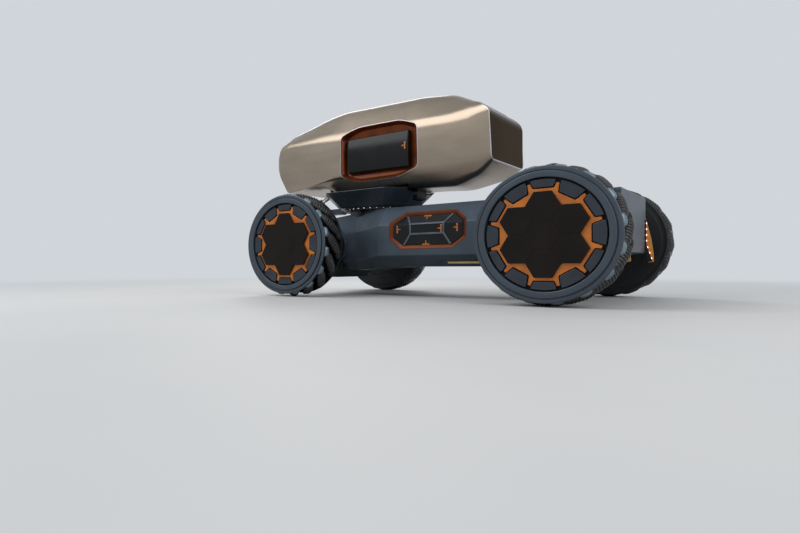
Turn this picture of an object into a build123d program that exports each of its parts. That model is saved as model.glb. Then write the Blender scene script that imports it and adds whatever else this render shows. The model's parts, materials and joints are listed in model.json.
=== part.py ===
from build123d import *
import math
import os

os.makedirs("parts", exist_ok=True)

# Planetary rover prototype, in millimetres. +X is forward, +Y is the left side, +Z is up.
# The origin is on the ground below the middle of the overall length and width.

# Overall layout
half_width = 814
wheelbase = 1764
wheel_radius = 385
wheel_width = 230
pod_tail_overhang = 479
half_length = (wheel_radius + wheelbase + pod_tail_overhang) / 2
front_axle_x = half_length - wheel_radius
rear_axle_x = front_axle_x - wheelbase
axles_middle_x = (front_axle_x + rear_axle_x) / 2
wheel_y = half_width - wheel_width / 2
axle_z = wheel_radius

# Clearances
seat_gap = 0.3
running_gap = 0.05

# Hull cross sections, from the tail to the nose:
# x, half width at the side, half width of the deck, half width of the belly,
# height of the belly, lower edge of the side, upper edge of the side, deck
deck_z = 655
belly_z = 217
hull_half = 374
side_low_z = 296
side_high_z = 516
nose_x = front_axle_x + 275
nose_low_z = 327
nose_belly_z = 297
nose_high_z = 645
nose_deck_half = hull_half - 8
taper_x = rear_axle_x + 528
shoulder_x = front_axle_x - 481
tail_x = rear_axle_x - 230
main_section = (hull_half, hull_half - 123, hull_half - 70, belly_z, side_low_z, side_high_z, deck_z)
hull_sections = [
    (tail_x, 170, 120, 130, 235, 285, 455, 595),
    (taper_x - 281, 233, 205, 195, 190, 261, 484, 637),
    (taper_x, *main_section),
    (shoulder_x, *main_section),
    (shoulder_x + 210, hull_half, nose_deck_half, 330, belly_z, side_low_z, nose_high_z, deck_z),
    (nose_x, hull_half, nose_deck_half, 340, nose_belly_z, nose_low_z, nose_high_z, deck_z),
]

# Octagonal recess in each side of the hull
recess_x = axles_middle_x + 18
recess_half_length = 279
recess_low_z = 341
recess_high_z = 605
recess_corner_x = 92
recess_corner_z = 70
recess_depth = 26
liner_width = 27
panel_thickness = 14
panel_gap = 1
rib_width = 13
rib_thickness = 18
rib_reach = 3
centre_panel_half_length = 121
centre_panel_low_z = 445
sill_low_x = recess_x + 138
sill_low_z = 237
sill_high_z = 249
sill_thickness = 6

# Payload pad on the front deck, with four tapped holes
pad_height = 6
pad_margin = 40
deck_hole_x = front_axle_x - 10
deck_hole_pitch_x = 300
deck_hole_pitch_y = 400
deck_hole_radius = 5.5
deck_hole_depth = 46

# Hub carriers and drive housings
carrier_radius = 150
boss_rim = 12
front_boss_y = hull_half + 6
rear_boss_y = 236
shaft_radius = 40
shaft_end_y = wheel_y + 50
shaft_end_gap = 5
collar_radius = 62
collar_length = 36
housing_half_y = 220
# half length along x, height
housing_outline = [(120, 285), (120, 225), (75, 135)]

# Wheel, measured along its own axis from the middle of its width, outwards positive
hexagon_side = 88
face_z = wheel_width / 2
inner_plate_thickness = 12
plate_z = inner_plate_thickness - face_z
ring_radius = 365
ring_step_radius = 338
ring_inner_radius = 303
ring_back_z = 93
ring_step_z = 107
dish_floor_z = 70
dish_thickness = 10
drum_radius = 262
drum_seat = 14
bore_radius = shaft_radius + running_gap
bore_end_z = shaft_end_y - wheel_y + shaft_end_gap
drum_end_y = wheel_y + plate_z
carrier_face_y = drum_end_y - collar_length
star_thickness = 28
cover_thickness = 14
segment_height = 33
petal_flat = 2.78 * hexagon_side
notch_flat = 2.55 * hexagon_side
spike_radius = 3.18 * hexagon_side
spike_width = 0.30 * hexagon_side
spike_taper = 0.6
segment_gap = 5
segment_radius = ring_inner_radius - 8

# Rollers, set at 45 degrees around each wheel
roller_count = 16
roller_sides = 8
roller_middle_radius = 38
roller_length = 190
roller_shift = -5
roller_circle = wheel_radius - roller_middle_radius
roller_tilt = 45
roller_taper_length = 50
bracket_radius = 25
bracket_length = 34

# Light bars at the outer edges of the nose, with lamps in front and an orange fin beside them:
# outlines as distances ahead of the nose and heights
bar_width = 18
bar_outline = [(0, 513), (6, 513), (6, 355), (38, 247), (14, 243), (0, 297)]
fin_width = 8
fin_outline = [(0, 530), (30, 380), (44, 243), (14, 238), (0, 297)]
bar_y = hull_half - fin_width - seat_gap - bar_width / 2
dot_count = 4
dot_pitch = 37
dot_radius = 7
dot_depth = 3
dot_middle_z = 434
low_dot_count = 3

# Turret
turret_x = rear_axle_x + 323
ring_height = 20
ring_top_z = deck_z + ring_height
ring_outer = 275
ring_inner = 215
ring_base_radius = 225
ring_base_low_z = 585
spigot_gap = 0.5

# Pedestal, from its top to its foot: height, half length, half width, corner cut along x and y
pedestal_high_z = 797
pedestal_trough_z = 769
pedestal_trough_half = 195
pedestal_trough_flare = 26
pedestal_sections = [
    (pedestal_high_z, 400, 370, 140, 200),
    (ring_top_z + seat_gap, 283, 262, 99, 142),
]

# Pod cross sections, from the tail to the front: x from the turret's axis, then the same columns
# as the hull
pod_half = 308
pod_belly_z = 787
pod_tail_belly_z = 859
pod_tail_x = -half_length - turret_x
pod_front_x = 995
visor_x = 900
visor_low_z = 1187
visor_high_z = 1304
pod_front_section = (pod_half, 240, 285, 910, 935, visor_low_z, visor_high_z)
pod_sections = [
    (pod_tail_x, pod_half - 26, 172, 170, 990, 1058, 1158, 1214),
    (pod_tail_x + 42, pod_half, 178, 185, 912, 985, 1222, 1292),
    (pod_tail_x + 100, pod_half, 180, 190, pod_tail_belly_z, 857, 1253, 1346),
    (-500, pod_half, 180, 190, pod_tail_belly_z, 845, 1250, 1398),
    (-370, pod_half, 180, 190, pod_tail_belly_z, 874, 1247, 1435),
    (-210, pod_half, 180, 190, pod_belly_z, 902, 1235, 1463),
    (470, pod_half, 180, 190, pod_belly_z, 915, 1230, 1450),
    (695, pod_half, 185, 195, 775, 915, 1230, 1420),
    (visor_x, pod_half, 240, 250, 835, 920, 1200, visor_high_z),
    (pod_front_x, *pod_front_section),
]
pod_trim_depth = 18
glass_frame_width = 9
glass_recess = 3

# Octagonal recess in each side of the pod: x from the turret's axis and z of its corners
pod_recess = [
    (-164, 933),
    (20, 869),
    (346, 877),
    (487, 957),
    (487, 1207),
    (452, 1244),
    (-37, 1276),
    (-164, 1227),
]
pod_recess_floor_y = pod_half - 68
pod_liner_floor = 8
pod_liner_width = 26
pod_liner_flare = 18
pod_panel_x = turret_x + 148
pod_panel_half_length = 257
pod_panel_low_z = 950
pod_panel_high_z = 1215
pod_panel_edge_y = pod_half - 28
pod_panel_crown = 16

# Tilt pivot between the pedestal and the pod
pivot_x = turret_x + 340
pivot_z = 747
knuckle_radius = 25
knuckle_half_width = 75
knuckle_side_gap = 5
knuckle_clear_radius = 32
pin_radius = 12
rest_pad_x = turret_x - 70
rest_pad_y = 120
rest_pad_size = 60

# Tilt cylinder behind the pedestal, carried by an arm of the pedestal
barrel_pin_x = turret_x - 660
barrel_pin_z = 722
rod_pin_x = turret_x - 428
rod_pin_z = 835
arm_half_width = 36
arm_end_radius = 30
# x from the turret's axis, height
arm_points = [(-260, 677), (-300, 677), (-340, 653), (-682, 653), (-682, 698), (-350, 704), (-270, 735)]
eye_half_width = 15
eye_side_gap = 2
eye_radius = 22
neck_radius = 11
barrel_radius = 27
barrel_start = 46
barrel_end = 122
rod_radius = 17
rod_start = 60
rod_end_gap = 5
rod_gap = 0.1
rod_eye_half_width = 12
rod_eye_radius = 20
rod_eye_clearance = 4
lug_half_width = 30
lug_radius = 22
cylinder_length = math.hypot(rod_pin_x - barrel_pin_x, rod_pin_z - barrel_pin_z)

# Corners: name, x of the axle, side (+1 left, -1 right)
corners = [
    ("front_left", front_axle_x, 1),
    ("front_right", front_axle_x, -1),
    ("rear_left", rear_axle_x, 1),
    ("rear_right", rear_axle_x, -1),
]
sides = (-1, 1)


def section_points(half_side, half_deck, half_belly, low_z, side_low, side_high, top_z):
    """Right half of an eight-cornered cross section, from the belly to the deck, and its mirror."""
    half = [(half_belly, low_z), (half_side, side_low), (half_side, side_high), (half_deck, top_z)]
    return half + [(-y, z) for y, z in reversed(half)]


def octagon_points(low_x, high_x, low_z, high_z, corner_x, corner_z):
    """A rectangle in x and z with its corners cut off."""
    return [
        (low_x + corner_x, low_z),
        (high_x - corner_x, low_z),
        (high_x, low_z + corner_z),
        (high_x, high_z - corner_z),
        (high_x - corner_x, high_z),
        (low_x + corner_x, high_z),
        (low_x, high_z - corner_z),
        (low_x, low_z + corner_z),
    ]


def polar(radius, offset, angle):
    """The point at a radius along an angle and at an offset across it."""
    a = math.radians(angle)
    return (
        radius * math.cos(a) - offset * math.sin(a),
        radius * math.sin(a) + offset * math.cos(a),
    )


def star_points(grow):
    """Outline of the twelve-spiked star, every edge moved outwards by grow."""
    half = spike_width / 2 + grow
    points = []
    for spike in range(12):
        angle = 15 + 30 * spike
        flats = (notch_flat, petal_flat) if spike % 2 == 0 else (petal_flat, notch_flat)
        for offset, flat, delta in ((-half, flats[0], 15), (half, flats[1], -15)):
            turn = math.radians(delta)
            radius = (flat + grow + offset * math.sin(turn)) / math.cos(turn)
            pair = [(radius, offset), (spike_radius + grow, offset * spike_taper)]
            points += [polar(r, o, angle) for r, o in (pair if offset < 0 else reversed(pair))]
    return points


def side_plane(side, y):
    """Plane that faces outwards on one side of the vehicle; its own y runs down on the left."""
    return Plane(origin=(0, side * y, 0), x_dir=(1, 0, 0), z_dir=(0, side, 0))


def roller_radius(distance):
    """Radius of a roller at a distance from its middle, so that all reach one circle."""
    rise = distance * math.sin(math.radians(roller_tilt))
    return math.sqrt(wheel_radius**2 - rise**2) - roller_circle


def roller_plane(index, distance):
    """Plane across a roller's axis, at a distance from its middle."""
    turn = math.radians(360 / roller_count * index)
    out = wheel.x_dir * math.cos(turn) + wheel.y_dir * math.sin(turn)
    around = wheel.y_dir * math.cos(turn) - wheel.x_dir * math.sin(turn)
    tilt = math.radians(roller_tilt)
    along = around * math.sin(tilt) + wheel.z_dir * math.cos(tilt)
    middle = wheel.origin + out * roller_circle + wheel.z_dir * roller_shift
    return Plane(origin=middle + along * distance, x_dir=out, z_dir=along)


def roller_planes(distance, end):
    """Planes across all rollers, at a distance from their middles towards one end, facing it."""
    planes = [roller_plane(index, end * distance) for index in range(roller_count)]
    return [Plane(origin=p.origin, x_dir=p.x_dir, z_dir=p.z_dir * end) for p in planes]


def beyond_front(depth):
    """Outline in x and z of the space ahead of the pod's upright front and the visor that leans
    back above it, both moved back by a depth."""
    front_x = turret_x + pod_front_x - depth
    lean = pod_front_x - visor_x
    rise = visor_high_z - visor_low_z
    return [
        (front_x, 0),
        (front_x, visor_low_z),
        (front_x - 2 * lean, visor_low_z + 2 * rise),
        (half_length, visor_low_z + 2 * rise),
        (half_length, 0),
    ]


recess = octagon_points(
    recess_x - recess_half_length,
    recess_x + recess_half_length,
    recess_low_z,
    recess_high_z,
    recess_corner_x,
    recess_corner_z,
)
across = Plane.XZ.offset(-half_width)

# Hull
with BuildPart() as hull_form:
    for x, *section in hull_sections:
        with BuildSketch(Plane.YZ.offset(x)):
            with BuildLine():
                Polyline(section_points(*section), close=True)
            make_face()
    loft(ruled=True)

# The main cross section moved inwards by a few depths, as bars through the side recesses
cores = {}
for depth in (recess_depth, recess_depth - rib_thickness, recess_depth - panel_thickness):
    with BuildPart() as core:
        with BuildSketch(Plane.YZ.offset(taper_x)):
            with BuildLine():
                Polyline(section_points(*main_section), close=True)
            make_face()
            offset(amount=-depth, kind=Kind.INTERSECTION, mode=Mode.REPLACE)
        extrude(amount=shoulder_x - taper_x)
    cores[depth] = core.part

with BuildPart() as recess_space:
    with BuildSketch(across):
        with BuildLine():
            Polyline(recess, close=True)
        make_face()
    extrude(amount=2 * half_width)
    add(cores[recess_depth], mode=Mode.SUBTRACT)

with BuildPart() as hull:
    add(hull_form.part)
    add(recess_space.part, mode=Mode.SUBTRACT)
    for boss_x, boss_y in ((front_axle_x, front_boss_y), (rear_axle_x, rear_boss_y)):
        with BuildSketch(Plane(origin=(boss_x, 0, axle_z), z_dir=(0, 1, 0))):
            Circle(carrier_radius + boss_rim)
        extrude(amount=boss_y, both=True)
    with BuildSketch(Plane(origin=(deck_hole_x, 0, deck_z))):
        Rectangle(deck_hole_pitch_x + 2 * pad_margin, deck_hole_pitch_y + 2 * pad_margin)
    extrude(amount=pad_height)
    with Locations(Plane(origin=(deck_hole_x, 0, deck_z + pad_height))):
        with GridLocations(deck_hole_pitch_x, deck_hole_pitch_y, 2, 2):
            Hole(deck_hole_radius, deck_hole_depth)
hull.part.label = "hull"
export_step(hull.part, "parts/hull.step")

# Orange liner round each side recess
with BuildPart() as side_recess_liners:
    with BuildSketch(across):
        with BuildLine():
            Polyline(recess, close=True)
        make_face()
        offset(amount=-liner_width, kind=Kind.INTERSECTION, mode=Mode.SUBTRACT)
    extrude(amount=2 * half_width)
    add(hull_form.part, mode=Mode.INTERSECT)
    add(cores[recess_depth], mode=Mode.SUBTRACT)
side_recess_liners.part.label = "side_recess_liners"
export_step(side_recess_liners.part, "parts/side_recess_liners.step")

# Five dark panels in each side recess, the upper one lying on the hull's bevel: one in the
# middle and one beyond each of its edges, with ribs between them
inset = liner_width + panel_gap
panel_corners = []
for corner_side, corner_z, end_z in (
    (-1, centre_panel_low_z, recess_low_z),
    (1, centre_panel_low_z, recess_low_z),
    (1, side_high_z, recess_high_z),
    (-1, side_high_z, recess_high_z),
):
    near = (recess_x + corner_side * centre_panel_half_length, corner_z)
    end = (recess_x + corner_side * (recess_half_length - recess_corner_x), end_z)
    far = (near[0] + rib_reach * (end[0] - near[0]), near[1] + rib_reach * (end[1] - near[1]))
    panel_corners.append((near, far))
panel_regions = [[near for near, far in panel_corners]]
for (near, far), (next_near, next_far) in zip(panel_corners, panel_corners[1:] + panel_corners[:1]):
    panel_regions.append([near, next_near, next_far, far])

with BuildPart() as side_recess_panels:
    with BuildSketch(across):
        for region in panel_regions:
            with BuildLine():
                Polyline(region, close=True)
            offset(
                make_face(mode=Mode.PRIVATE),
                amount=-rib_width / 2 - panel_gap,
                kind=Kind.INTERSECTION,
                mode=Mode.ADD,
            )
    extrude(amount=2 * half_width)
    with BuildSketch(across):
        with BuildLine():
            Polyline(recess, close=True)
        make_face()
        offset(amount=-inset, kind=Kind.INTERSECTION, mode=Mode.REPLACE)
    extrude(amount=2 * half_width, mode=Mode.INTERSECT)
    add(cores[recess_depth - panel_thickness], mode=Mode.INTERSECT)
    add(cores[recess_depth], mode=Mode.SUBTRACT)
side_recess_panels.part.label = "side_recess_panels"
export_step(side_recess_panels.part, "parts/side_recess_panels.step")

with BuildPart() as side_recess_ribs:
    with BuildSketch(across):
        with BuildLine():
            Polyline(recess, close=True)
        make_face()
        offset(amount=-inset, kind=Kind.INTERSECTION, mode=Mode.REPLACE)
        for region in panel_regions:
            with BuildLine():
                Polyline(region, close=True)
            offset(
                make_face(mode=Mode.PRIVATE),
                amount=-rib_width / 2,
                kind=Kind.INTERSECTION,
                mode=Mode.SUBTRACT,
            )
    extrude(amount=2 * half_width)
    add(cores[recess_depth - rib_thickness], mode=Mode.INTERSECT)
    add(cores[recess_depth], mode=Mode.SUBTRACT)
side_recess_ribs.part.label = "side_recess_ribs"
export_step(side_recess_ribs.part, "parts/side_recess_ribs.step")

# Sill strips on the lower bevel of the hull
with BuildPart() as sill_strips:
    with BuildSketch(Plane.YZ.offset(sill_low_x)):
        with BuildLine():
            Polyline(section_points(*main_section), close=True)
        make_face()
        offset(amount=sill_thickness, kind=Kind.INTERSECTION, mode=Mode.REPLACE)
        with BuildLine():
            Polyline(section_points(*main_section), close=True)
        make_face(mode=Mode.SUBTRACT)
        with Locations((0, (sill_low_z + sill_high_z) / 2)):
            Rectangle(2 * half_width, sill_high_z - sill_low_z, mode=Mode.INTERSECT)
    extrude(amount=shoulder_x - sill_low_x)
sill_strips.part.label = "sill_strips"
export_step(sill_strips.part, "parts/sill_strips.step")

# Hub carriers: a drum on the hull's side, a thrust collar and a stub axle for each wheel
with BuildPart() as hub_carriers:
    for name, x, side in corners:
        start_y = front_boss_y if x > 0 else rear_boss_y
        for radius, low_y, high_y in (
            (carrier_radius, start_y, carrier_face_y),
            (collar_radius, carrier_face_y, drum_end_y - seat_gap),
            (shaft_radius, drum_end_y - seat_gap, shaft_end_y),
        ):
            with BuildSketch(side_plane(side, low_y)):
                with Locations((x, -side * axle_z)):
                    Circle(radius)
            extrude(amount=high_y - low_y)
hub_carriers.part.label = "hub_carriers"
export_step(hub_carriers.part, "parts/hub_carriers.step")

# Drive housings below the hull at both axles
with BuildPart() as drive_housings:
    for x in (front_axle_x, rear_axle_x):
        with BuildSketch(Plane.XZ):
            with BuildLine():
                front_edge = [(x + half_x, z) for half_x, z in housing_outline]
                back_edge = [(x - half_x, z) for half_x, z in reversed(housing_outline)]
                Polyline(front_edge + back_edge, close=True)
            make_face()
        extrude(amount=housing_half_y, both=True)
    add(hull.part, mode=Mode.SUBTRACT)
drive_housings.part.label = "drive_housings"
export_step(drive_housings.part, "parts/drive_housings.step")

# Light bars at the outer edges of the nose, upright above and sloping forward below, each with an
# orange fin on its outer side
with BuildPart() as light_bars:
    for side in sides:
        with BuildSketch(side_plane(side, bar_y - bar_width / 2)):
            with BuildLine():
                Polyline([(nose_x + ahead, -side * z) for ahead, z in bar_outline], close=True)
            make_face()
        extrude(amount=bar_width)
light_bars.part.label = "light_bars"
export_step(light_bars.part, "parts/light_bars.step")

with BuildPart() as light_fins:
    for side in sides:
        with BuildSketch(side_plane(side, hull_half - fin_width)):
            with BuildLine():
                Polyline([(nose_x + ahead, -side * z) for ahead, z in fin_outline], close=True)
            make_face()
        extrude(amount=fin_width)
light_fins.part.label = "light_fins"
export_step(light_fins.part, "parts/light_fins.step")

# Lamps on the upright and on the sloping face of each light bar
(knee_x, knee_z), (foot_x, foot_z) = bar_outline[2:4]
with BuildPart() as light_dots:
    for side in sides:
        upright_face = Plane(
            origin=(nose_x + knee_x, side * bar_y, dot_middle_z),
            x_dir=(0, 1, 0),
            z_dir=(1, 0, 0),
        )
        sloping_face = Plane(
            origin=(nose_x + (knee_x + foot_x) / 2, side * bar_y, (knee_z + foot_z) / 2),
            x_dir=(0, 1, 0),
            z_dir=(knee_z - foot_z, 0, foot_x - knee_x),
        )
        for face, count in ((upright_face, dot_count), (sloping_face, low_dot_count)):
            with BuildSketch(face):
                with GridLocations(0, dot_pitch, 1, count):
                    RegularPolygon(dot_radius, 8)
            extrude(amount=dot_depth)
light_dots.part.label = "light_dots"
export_step(light_dots.part, "parts/light_dots.step")

# Fixed half of the slewing ring, on a base that follows the sloping deck
with BuildPart() as slewing_ring:
    with BuildSketch(Plane(origin=(turret_x, 0, ring_base_low_z))):
        Circle(ring_base_radius)
    extrude(amount=deck_z - ring_base_low_z)
    add(hull.part, mode=Mode.SUBTRACT)
    with BuildSketch(Plane(origin=(turret_x, 0, deck_z))):
        Circle(ring_outer)
        Circle(ring_inner, mode=Mode.SUBTRACT)
    extrude(amount=ring_height)
slewing_ring.part.label = "slewing_ring"
export_step(slewing_ring.part, "parts/slewing_ring.step")

# Pedestal of the turret: an eight-sided frustum standing on its narrow end, with a trough for the
# pod's belly, the pin of the pod's pivot in a notch in front and the arm of the tilt cylinder
# behind
with BuildPart() as pedestal:
    for z, half_x, half_y, corner_x, corner_y in pedestal_sections:
        with BuildSketch(Plane(origin=(turret_x, 0, z))):
            with BuildLine():
                Polyline(octagon_points(-half_x, half_x, -half_y, half_y, corner_x, corner_y), close=True)
            make_face()
    loft(ruled=True)
    with BuildSketch(Plane.YZ.offset(turret_x - half_length)):
        with BuildLine():
            Polyline(
                (-pedestal_trough_half, pedestal_trough_z),
                (pedestal_trough_half, pedestal_trough_z),
                (pedestal_trough_half + pedestal_trough_flare, pedestal_high_z),
                (-pedestal_trough_half - pedestal_trough_flare, pedestal_high_z),
                close=True,
            )
        make_face()
    extrude(amount=2 * half_length, mode=Mode.SUBTRACT)
    with BuildSketch(Plane(origin=(turret_x, 0, ring_top_z + seat_gap))):
        Circle(ring_inner - spigot_gap)
    extrude(amount=-ring_height)
    with BuildSketch(Plane.XZ):
        with BuildLine():
            Polyline([(turret_x + x, z) for x, z in arm_points], close=True)
        make_face()
        with Locations((barrel_pin_x, barrel_pin_z)):
            Circle(arm_end_radius)
            with Locations((0, -arm_end_radius / 2)):
                Rectangle(2 * arm_end_radius, arm_end_radius)
    extrude(amount=arm_half_width, both=True)
    with BuildSketch(Plane.XZ):
        with Locations((barrel_pin_x, barrel_pin_z)):
            Circle(barrel_start)
    extrude(amount=eye_half_width + eye_side_gap, both=True, mode=Mode.SUBTRACT)
    with BuildSketch(Plane.XZ):
        with Locations((barrel_pin_x, barrel_pin_z)):
            Circle(pin_radius)
    extrude(amount=arm_half_width, both=True)
    with BuildSketch(Plane.XZ):
        with Locations((pivot_x, pivot_z)):
            Circle(knuckle_clear_radius)
            with Locations((2 * knuckle_clear_radius, 0)):
                Rectangle(4 * knuckle_clear_radius, 2 * knuckle_clear_radius)
            with Locations((0, 2 * knuckle_clear_radius)):
                Rectangle(2 * knuckle_clear_radius, 4 * knuckle_clear_radius)
    extrude(amount=knuckle_half_width + knuckle_side_gap, both=True, mode=Mode.SUBTRACT)
    with BuildSketch(Plane.XZ):
        with Locations((pivot_x, pivot_z)):
            Circle(pin_radius)
    extrude(amount=knuckle_half_width + 2 * knuckle_side_gap, both=True)
pedestal.part.label = "pedestal"
export_step(pedestal.part, "parts/pedestal.step")

# Pads on which the pod rests when it is level
with BuildPart() as rest_pads:
    with BuildSketch(Plane.XY.offset(pedestal_trough_z)):
        with Locations(*[(rest_pad_x, side * rest_pad_y) for side in sides]):
            Rectangle(rest_pad_size, rest_pad_size)
    extrude(amount=pod_belly_z - seat_gap - pedestal_trough_z)
rest_pads.part.label = "rest_pads"
export_step(rest_pads.part, "parts/rest_pads.step")

# Pod, with an upright front and a visor that leans back above it
with BuildPart() as pod_form:
    for x, *section in pod_sections:
        with BuildSketch(Plane.YZ.offset(turret_x + x)):
            with BuildLine():
                Polyline(section_points(*section), close=True)
            make_face()
    loft(ruled=True)
    with BuildSketch(Plane.XZ):
        with BuildLine():
            Polyline(beyond_front(0), close=True)
        make_face()
    extrude(amount=half_width, both=True, mode=Mode.SUBTRACT)

with BuildPart() as pod_shell:
    add(pod_form.part)
    for side in sides:
        with BuildSketch(side_plane(side, pod_recess_floor_y)):
            with BuildLine():
                Polyline([(turret_x + x, -side * z) for x, z in pod_recess], close=True)
            make_face()
        extrude(amount=pod_half, mode=Mode.SUBTRACT)
    with BuildSketch(Plane.XZ):
        with BuildLine():
            Polyline(beyond_front(pod_trim_depth), close=True)
        make_face()
    extrude(amount=half_width, both=True, mode=Mode.SUBTRACT)
pod_shell.part.label = "pod_shell"
export_step(pod_shell.part, "parts/pod_shell.step")

# Orange liner of each recess: a floor with a flared wall round it
with BuildPart() as pod_recess_liners:
    for side in sides:
        with BuildSketch(side_plane(side, pod_recess_floor_y)):
            with BuildLine():
                Polyline([(turret_x + x, -side * z) for x, z in pod_recess], close=True)
            make_face()
        extrude(amount=pod_half - pod_recess_floor_y)
    add(pod_form.part, mode=Mode.INTERSECT)
    for side in sides:
        with BuildSketch(side_plane(side, pod_recess_floor_y + pod_liner_floor)):
            with BuildLine():
                Polyline([(turret_x + x, -side * z) for x, z in pod_recess], close=True)
            make_face()
            offset(amount=-pod_liner_width, kind=Kind.INTERSECTION, mode=Mode.REPLACE)
        extrude(amount=pod_half - pod_recess_floor_y, taper=-pod_liner_flare, mode=Mode.SUBTRACT)
pod_recess_liners.part.label = "pod_recess_liners"
export_step(pod_recess_liners.part, "parts/pod_recess_liners.step")

# Crowned dark panel on the floor of each recess
with BuildPart() as pod_recess_panels:
    with BuildSketch(Plane.YZ.offset(pod_panel_x)):
        for side in sides:
            floor_y = side * (pod_recess_floor_y + pod_liner_floor)
            edge_y = side * pod_panel_edge_y
            crown_y = side * (pod_panel_edge_y + pod_panel_crown)
            middle_z = (pod_panel_low_z + pod_panel_high_z) / 2
            with BuildLine():
                Polyline(
                    (edge_y, pod_panel_high_z),
                    (floor_y, pod_panel_high_z),
                    (floor_y, pod_panel_low_z),
                    (edge_y, pod_panel_low_z),
                )
                ThreePointArc(
                    (edge_y, pod_panel_low_z),
                    (crown_y, middle_z),
                    (edge_y, pod_panel_high_z),
                )
            make_face()
    extrude(amount=pod_panel_half_length, both=True)
pod_recess_panels.part.label = "pod_recess_panels"
export_step(pod_recess_panels.part, "parts/pod_recess_panels.step")

# Bright frame round the pod's front and visor, and the dark glass in it
with BuildPart() as pod_front:
    with BuildSketch(Plane.XZ):
        with BuildLine():
            Polyline(beyond_front(pod_trim_depth), close=True)
        make_face()
    extrude(amount=half_width, both=True)
    add(pod_form.part, mode=Mode.INTERSECT)

with BuildPart() as glass_space:
    with BuildSketch(Plane.YZ.offset(turret_x)):
        with BuildLine():
            Polyline(section_points(*pod_front_section), close=True)
        make_face()
        offset(amount=-glass_frame_width, kind=Kind.INTERSECTION, mode=Mode.REPLACE)
    extrude(amount=half_length)

with BuildPart() as pod_front_frame:
    add(pod_front.part)
    add(glass_space.part, mode=Mode.SUBTRACT)
pod_front_frame.part.label = "pod_front_frame"
export_step(pod_front_frame.part, "parts/pod_front_frame.step")

with BuildPart() as pod_front_glass:
    add(pod_front.part)
    add(glass_space.part, mode=Mode.INTERSECT)
    with BuildSketch(Plane.XZ):
        with BuildLine():
            Polyline(beyond_front(glass_recess), close=True)
        make_face()
    extrude(amount=half_width, both=True, mode=Mode.SUBTRACT)
pod_front_glass.part.label = "pod_front_glass"
export_step(pod_front_glass.part, "parts/pod_front_glass.step")

# Brackets under the pod: the knuckle of its pivot and the lug of the tilt cylinder's rod
with BuildPart() as pod_brackets:
    with BuildSketch(Plane.XZ):
        with Locations((pivot_x, pivot_z)):
            Circle(knuckle_radius)
            with Locations((0, (pod_belly_z - pivot_z) / 2)):
                Rectangle(2 * knuckle_radius, pod_belly_z - pivot_z)
            Circle(pin_radius + running_gap, mode=Mode.SUBTRACT)
    extrude(amount=knuckle_half_width, both=True)
    with BuildSketch(Plane.XZ):
        with Locations((rod_pin_x, rod_pin_z)):
            Circle(lug_radius)
            with Locations((0, (pod_tail_belly_z - rod_pin_z) / 2)):
                Rectangle(2 * lug_radius, pod_tail_belly_z - rod_pin_z)
    extrude(amount=lug_half_width, both=True)
    with BuildSketch(Plane.XZ):
        with Locations((rod_pin_x, rod_pin_z)):
            Rectangle(4 * lug_radius, 4 * lug_radius)
    extrude(amount=rod_eye_half_width + eye_side_gap, both=True, mode=Mode.SUBTRACT)
    with BuildSketch(Plane.XZ):
        with Locations((rod_pin_x, rod_pin_z)):
            Circle(pin_radius)
    extrude(amount=lug_half_width, both=True)
pod_brackets.part.label = "pod_brackets"
export_step(pod_brackets.part, "parts/pod_brackets.step")

# Tilt cylinder: a barrel with an eye on the arm's pin, and a rod with an open eye. Distances
# along it are from the barrel's pin.
cylinder = Plane(
    origin=(barrel_pin_x, 0, barrel_pin_z),
    x_dir=(0, 1, 0),
    z_dir=(rod_pin_x - barrel_pin_x, 0, rod_pin_z - barrel_pin_z),
)
barrel_neck_start = (pin_radius + eye_radius) / 2
with BuildPart() as actuator_barrel:
    with BuildSketch(Plane.XZ):
        with Locations((barrel_pin_x, barrel_pin_z)):
            Circle(eye_radius)
            Circle(pin_radius + running_gap, mode=Mode.SUBTRACT)
    extrude(amount=eye_half_width, both=True)
    with BuildSketch(cylinder.offset(barrel_neck_start)):
        Circle(neck_radius)
    extrude(amount=barrel_start - barrel_neck_start)
    with BuildSketch(cylinder.offset(barrel_start)):
        Circle(barrel_radius)
    extrude(amount=barrel_end - barrel_start)
    with BuildSketch(cylinder.offset(rod_start - rod_end_gap)):
        Circle(rod_radius + rod_gap)
    extrude(amount=cylinder_length, mode=Mode.SUBTRACT)
actuator_barrel.part.label = "actuator_barrel"
export_step(actuator_barrel.part, "parts/actuator_barrel.step")

rod_shoulder = cylinder_length - rod_eye_radius - rod_end_gap
with BuildPart() as actuator_rod:
    with BuildSketch(cylinder.offset(rod_start)):
        Circle(rod_radius)
    extrude(amount=rod_shoulder - rod_start)
    with BuildSketch(cylinder.offset(rod_shoulder)):
        Circle(neck_radius)
    extrude(amount=2 * rod_end_gap)
    with BuildSketch(Plane.XZ):
        with Locations((rod_pin_x, rod_pin_z)):
            Circle(rod_eye_radius)
    extrude(amount=rod_eye_half_width, both=True)
    with BuildSketch(Plane.XZ):
        with Locations((rod_pin_x, rod_pin_z)):
            Circle(pin_radius + rod_eye_clearance)
    extrude(amount=rod_eye_half_width, both=True, mode=Mode.SUBTRACT)
actuator_rod.part.label = "actuator_rod"
export_step(actuator_rod.part, "parts/actuator_rod.step")

# Front left wheel
wheel = Plane(origin=(front_axle_x, wheel_y, axle_z), x_dir=(1, 0, 0), z_dir=(0, 1, 0))

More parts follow.
